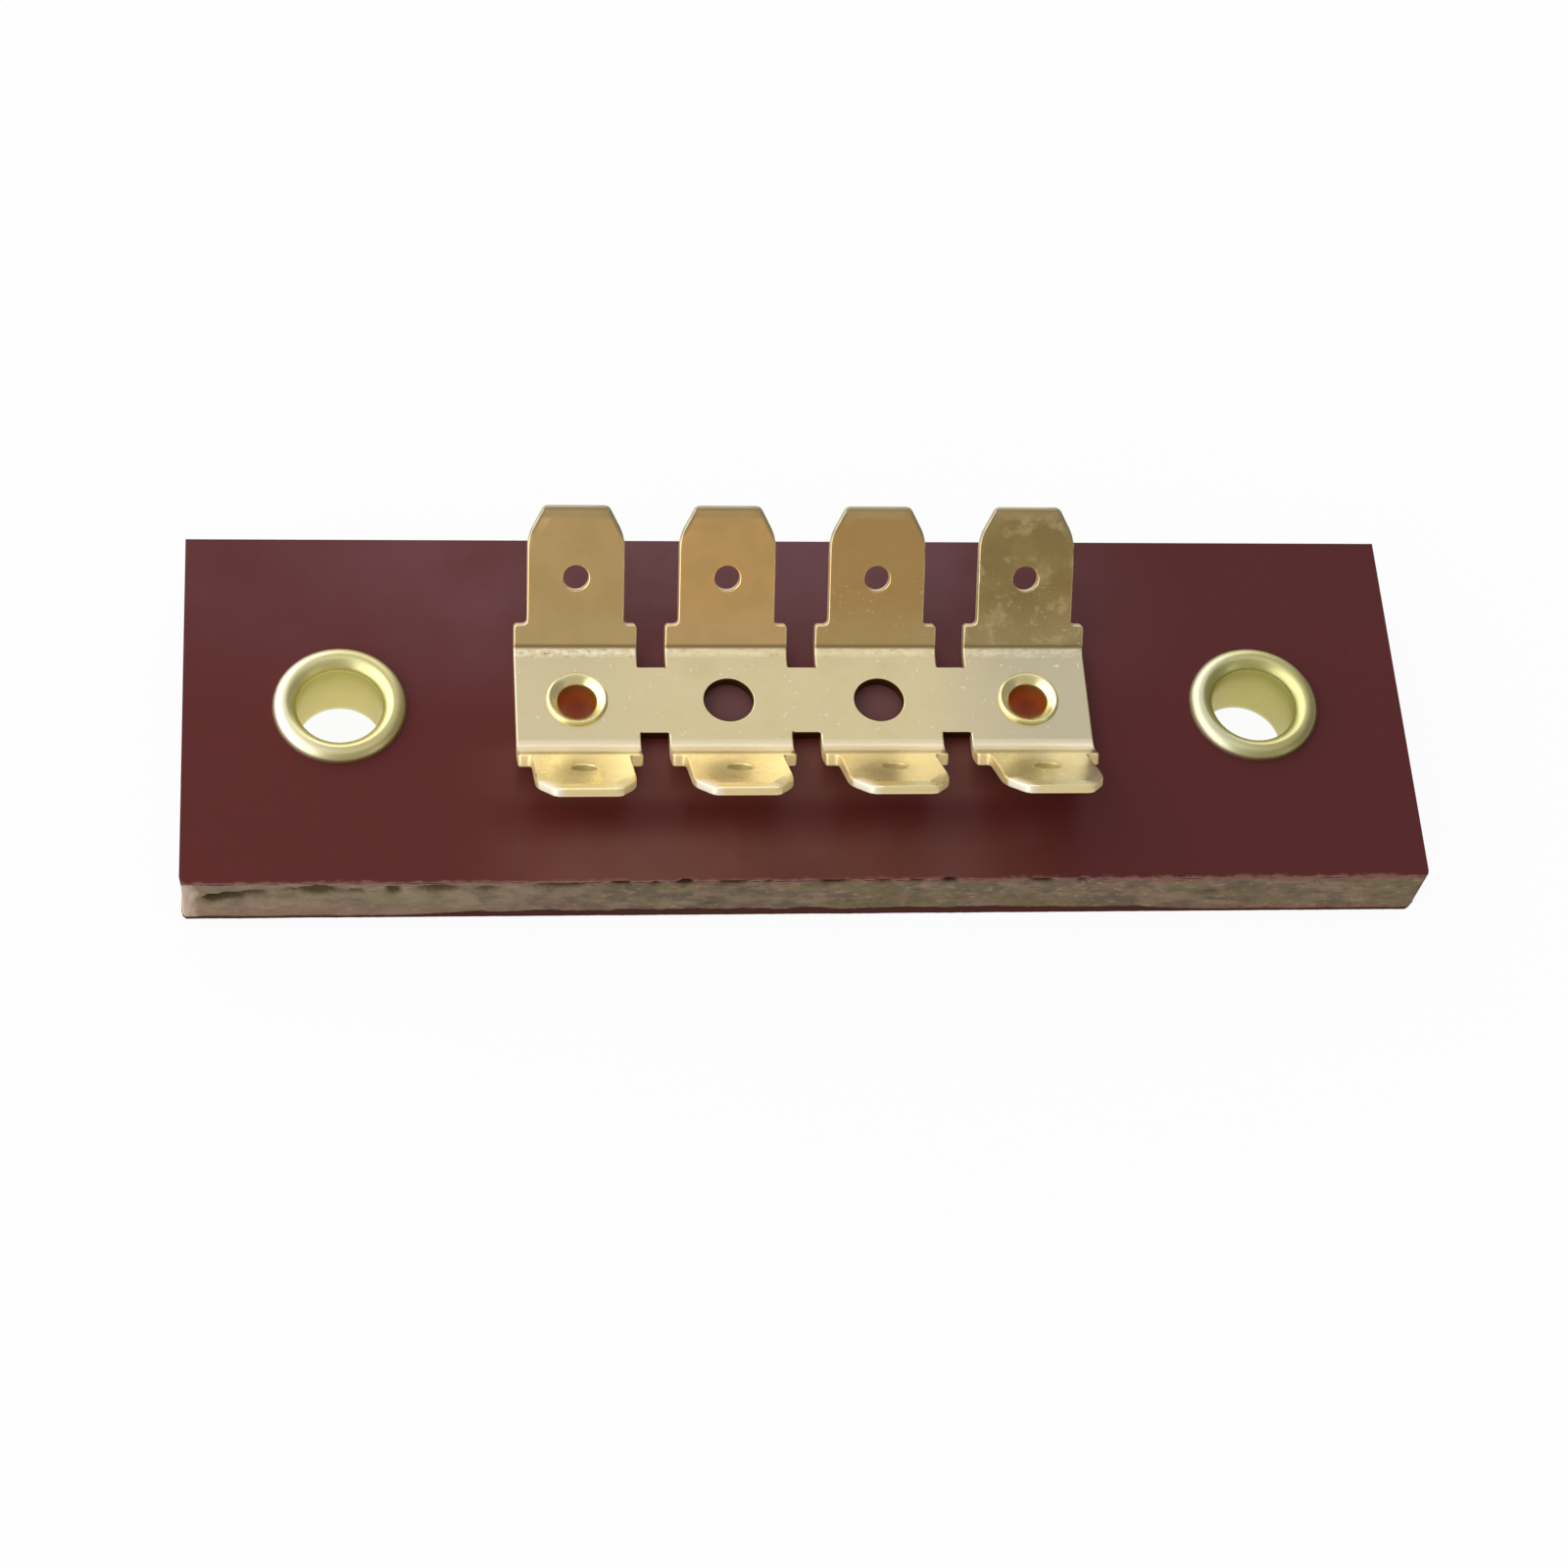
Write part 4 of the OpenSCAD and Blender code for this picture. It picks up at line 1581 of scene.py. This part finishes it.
def painted_tip_rim_shade(tree, axes, reach, front):
    """A dull rim of painted shade along the slanting edges and the end of each rear tip."""
    inside = inside_slant(tree, off_section(tree, axes, 0.0), reach)
    slants = times(tree, between(tree, inside, *RIM_REACH), between(tree, reach, *RIM_START_REACH))
    end = between(tree, reach, *RIM_END_REACH)
    return times(tree, largest(tree, slants, end), scaled(tree, front, 1.0, 0.0))


# %% How metallic and how rough the strip is
TIP_WALL_MATT = (0.2, 0.5)
WALL_MATT = (0.35, 0.20)
LATCH_MATT = 0.7
FRONT_MATT = 0.28
CORNER_HIGHLIGHT_MATT = 0.8
LEAST_METAL = 0.25
BEND_ROUGHER = 0.18
SHEAR_ROUGHER = 0.30
DARK_WALL_ROUGHER = 0.12
FRONT_ROUGHER = 0.05


def strip_metal(tree, masks):
    """Less than metallic where the brass is rubbed matt or dull: walls, tips and front tabs, and where a
    highlight is painted on the front bends and the left corners of the front tips. The pairs of values are
    for the rear and the front tabs."""
    front = masks["front"]
    tip_matt = times(tree, masks["at_tip"], scaled(tree, front, *TIP_WALL_MATT))
    latch_matt = times(tree, masks["latch"], LATCH_MATT)
    wall_matt = largest(tree, tip_matt, scaled(tree, front, *WALL_MATT), latch_matt)
    worn = largest(tree, times(tree, masks["sheared"], wall_matt), times(tree, front, FRONT_MATT))
    matt = largest(tree, masks["bend_highlight"], worn, times(tree, masks["corner_highlight"], CORNER_HIGHLIGHT_MATT))
    return scaled(tree, matt, 1.0, LEAST_METAL)


def strip_roughness(tree, masks, dullness):
    """Rougher in the bends, on the walls that the press has cut, and a little on the front tabs."""
    bends = times(tree, largest(tree, masks["scuffed"], masks["bend_highlight"]), BEND_ROUGHER)
    dark_wall_rough = times(tree, masks["dark_wall"], DARK_WALL_ROUGHER)
    walls = plus(tree, times(tree, masks["sheared"], SHEAR_ROUGHER), dark_wall_rough)
    brushed = times(tree, masks["front"], scaled(tree, masks["sheared"], FRONT_ROUGHER, 0.0))
    return plus(tree, dullness, largest(tree, bends, walls), brushed)


# %% Strip
WEB_BRASS = (0.87, 0.74, 0.45, 1)
WEB_DULL = (0.81, 0.68, 0.40, 1)
WEB_ROUGHNESS = (0.20, 0.28)
REAR_WALL = (0.70, 0.57, 0.37, 1)
SHEAR_BRASS = (0.88, 0.71, 0.38, 1)
# Painted shade on the walls and round the edges of the rear tips.
TIP_PAINTED_SHADE = (0.40, 0.34, 0.21, 1)
LATCH_OLIVE = (0.58, 0.45, 0.17, 1)
# Painted highlight on the left corner of each front tip.
CORNER_HIGHLIGHT_PALE = (0.95, 0.87, 0.68, 1)
# Painted shade on the walls round the web's holes and at the ends of the slots.
WALL_PAINTED_SHADE = (0.17, 0.105, 0.034, 1)
SCUFF_NOISE = (0.26, 3.0, (1.6, 1, 1))
SCUFF_Y = (fold_y / MM + 0.05, TAB_START - 0.15, 0.14)
TIP_WALL_REACH = (SLANT_START - 0.6, SLANT_START + 0.4)
SCUFF_RELIEF = 4.0
# Away from the bends, and on the front tabs.
REST_RELIEF = (0.16, 0.015)
RELIEF_HEIGHT = 0.008 * MM


def strip_masks(tree, axes, reach):
    """Where the strip's faces, walls, bends and tips are."""
    front = past(tree, axes["Y"], -TAB_START, 1.0, 0.0)
    bend_highlight, bend_shade = front_bend_painted_light(tree, axes, reach)
    masks = {
        "front": front,
        "bend_highlight": bend_highlight,
        "bend_shade": bend_shade,
        "scuffed": band(tree, axes["Y"], *SCUFF_Y),
        "at_tip": between(tree, reach, *TIP_WALL_REACH),
        "latch": latch_walls(tree, axes, reach, front),
        "corner_highlight": painted_corner_highlight(tree, axes, reach, front),
        "rim": painted_tip_rim_shade(tree, axes, reach, front),
    }
    for name in ("sheared", "dark_wall"):
        masks[name] = node(tree, "Attribute", {"attribute_name": name}).outputs["Fac"]
    return masks


def strip_finish():
    material, tree, shader, place, axes = start_finish("strip_sheet_brass")
    tone, dullness = base_brass(tree, shader, place, WEB_BRASS, WEB_DULL, *WEB_ROUGHNESS)
    flecks = cloud(tree, place, *SCUFF_NOISE)
    reach = along_tab(tree, axes)
    masks = strip_masks(tree, axes, reach)
    tone = rolled_tone(tree, place, axes, tone, flecks, masks["scuffed"], reach, masks["front"])
    wall = blend_colours(tree, masks["at_tip"], REAR_WALL, TIP_PAINTED_SHADE)
    wall = lay_over(tree, wall, (masks["front"], SHEAR_BRASS), (masks["latch"], LATCH_OLIVE))
    marks = {"bend_highlight": BEND_PAINTED_HIGHLIGHT, "bend_shade": BEND_PAINTED_SHADE, "rim": TIP_PAINTED_SHADE, "sheared": wall,
             "corner_highlight": CORNER_HIGHLIGHT_PALE, "dark_wall": WALL_PAINTED_SHADE}
    tone = lay_over(tree, tone, *((masks[name], colour) for name, colour in marks.items()))
    feed(tree, shader.inputs["Base Color"], tone)
    feed(tree, shader.inputs["Metallic"], strip_metal(tree, masks))
    feed(tree, shader.inputs["Roughness"], strip_roughness(tree, masks, dullness))
    rest = scaled(tree, masks["front"], *REST_RELIEF)
    relief = plus(tree, times(tree, masks["scuffed"], SCUFF_RELIEF), rest)
    feed(tree, shader.inputs["Normal"], bump(tree, times(tree, flecks, relief), RELIEF_HEIGHT))
    return material


strip_brass = strip_finish()
print("strip nodes:", len(strip_brass.node_tree.nodes))

# %% Eyelets and rivets
EYELET_BRASS = (0.62, 0.56, 0.28, 1)
EYELET_DULL = (0.57, 0.51, 0.24, 1)
# Painted light on the left side of each eyelet ring, and painted shade that dims the right eyelet.
EYELET_LIT = (0.86, 0.82, 0.60, 1)
RIGHT_PAINTED_SHADE = (0.81, 0.83, 0.78, 1)
FUNNEL_YELLOW = (0.72, 0.68, 0.33, 1)
BARREL_DARK = (0.56, 0.51, 0.13, 1)
BARREL_OLIVE = (0.70, 0.61, 0.23, 1)
RIVET_BRASS = (0.88, 0.80, 0.45, 1)
RIVET_DULL = (0.81, 0.73, 0.38, 1)
# Red-brown tarnish in the rivets' bores, brightened further down as painted light bounced round the bore, and
# darker near the top as painted shade.
BORE_RED_GLOW = (0.70, 0.165, 0.014, 1)
BORE_TOP_SHADE = (0.26, 0.10, 0.012, 1)
LIT_X = (-3.5, 1.0, 0.9, 0.0)
FUNNEL_START = 0.25
FUNNEL_END = 0.05
BORE_FADE = 1.6
BORE_SOFT = 0.12
BORE_ROUGHER = 0.12
BORE_GLOSS = 0.1
FAR_X = (0.0, 10.0)
TUBE_DULLER = 0.08
TUBE_NOISE = (0.2, 2.0)
TUBE_HEIGHT = 0.002 * MM


def tube_finish(name, spacing, tones, funnel_r, bores, painted_shade_right, top, depths, roughness, bore_metal):
    """Brass for two set tubes at a spacing. The tones are bright, dull, painted light on the left of each
    ring, and its funnel. The bores have one tone near the top and one further down, between two depths below
    the top, and painted shade dims the tube on the right."""
    bright, dull, lit, funnel = tones
    start, end = depths
    material, tree, shader, place, axes = start_finish(name)
    tone, dullness = base_brass(tree, shader, place, bright, dull, roughness, roughness + TUBE_DULLER)
    folded = calculate(tree, "FLOORED_MODULO", plus(tree, axes["X"], spacing / MM), spacing / MM)
    on_ring = minus(tree, folded, spacing / MM / 2)
    radius = distance(tree, on_ring, axes["Y"])
    crest = funnel_r / MM
    in_funnel = between(tree, radius, crest - FUNNEL_START, crest + FUNNEL_END, 1.0, 0.0)
    depth = minus(tree, top / MM, axes["Z"])
    inner = band(tree, depth, start, end, BORE_SOFT)
    bore = blend_colours(tree, between(tree, depth, start, start + BORE_FADE), *bores)
    tone = lay_over(tree, tone, (between(tree, on_ring, *LIT_X), lit), (in_funnel, funnel), (inner, bore))
    tone = blend_colours(tree, between(tree, axes["X"], *FAR_X), tone, painted_shade_right, "MULTIPLY")
    feed(tree, shader.inputs["Base Color"], tone)
    if bore_metal < 1:
        feed(tree, shader.inputs["Metallic"], scaled(tree, inner, 1.0, bore_metal))
        shader.inputs["Specular IOR Level"].default_value = BORE_GLOSS
    feed(tree, shader.inputs["Roughness"], plus(tree, dullness, times(tree, inner, BORE_ROUGHER)))
    feed(tree, shader.inputs["Normal"], bump(tree, cloud(tree, place, *TUBE_NOISE), TUBE_HEIGHT))
    return material


eyelet_brass = tube_finish(
    "eyelet_tube_brass", spacing=2 * EYELET_X, tones=(EYELET_BRASS, EYELET_DULL, EYELET_LIT, FUNNEL_YELLOW),
    funnel_r=EYELET_CREST_R, bores=(BARREL_DARK, BARREL_OLIVE), painted_shade_right=RIGHT_PAINTED_SHADE, top=board_top,
    depths=(0.05, 4.40), roughness=0.36, bore_metal=1.0)
rivet_brass = tube_finish(
    "rivet_tube_brass", spacing=2 * RIVET_X, tones=(RIVET_BRASS, RIVET_DULL, RIVET_BRASS, RIVET_BRASS),
    funnel_r=RIVET_CREST_R, bores=(BORE_TOP_SHADE, BORE_RED_GLOW), painted_shade_right=WHITE, top=board_top + SHEET,
    depths=(0.18, 4.30), roughness=0.24, bore_metal=0.0)
print("tube finishes:", eyelet_brass.name, rivet_brass.name)

# %% [markdown]
# ## Hand over
# Each piece gets its finish and rides on the one body of the part, and the CAD node that it stands in
# for is hidden.

# %% Hand over the pieces
PIECES = [
    (board, laminate, "board", "laminate"),
    (strip, strip_brass, "terminal_strip", "strip_brass"),
    (eyelets[0], eyelet_brass, "mounting_eyelet_left", "eyelet_brass"),
    (eyelets[1], eyelet_brass, "mounting_eyelet_right", "eyelet_brass"),
    (rivets[0], rivet_brass, "strip_rivet_left", "rivet_brass"),
    (rivets[1], rivet_brass, "strip_rivet_right", "rivet_brass"),
]
for piece, finish, cad_node, slot in PIECES:
    piece.data.materials.clear()
    piece.data.materials.append(finish)
    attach(piece, "root")
    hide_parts(cad_node)
print("handed over:", [piece.name for piece, *rest in PIECES])

# %% Print the size of the visual model
seen_low, seen_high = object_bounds()
print("visual size in mm:", in_mm(seen_high - seen_low))
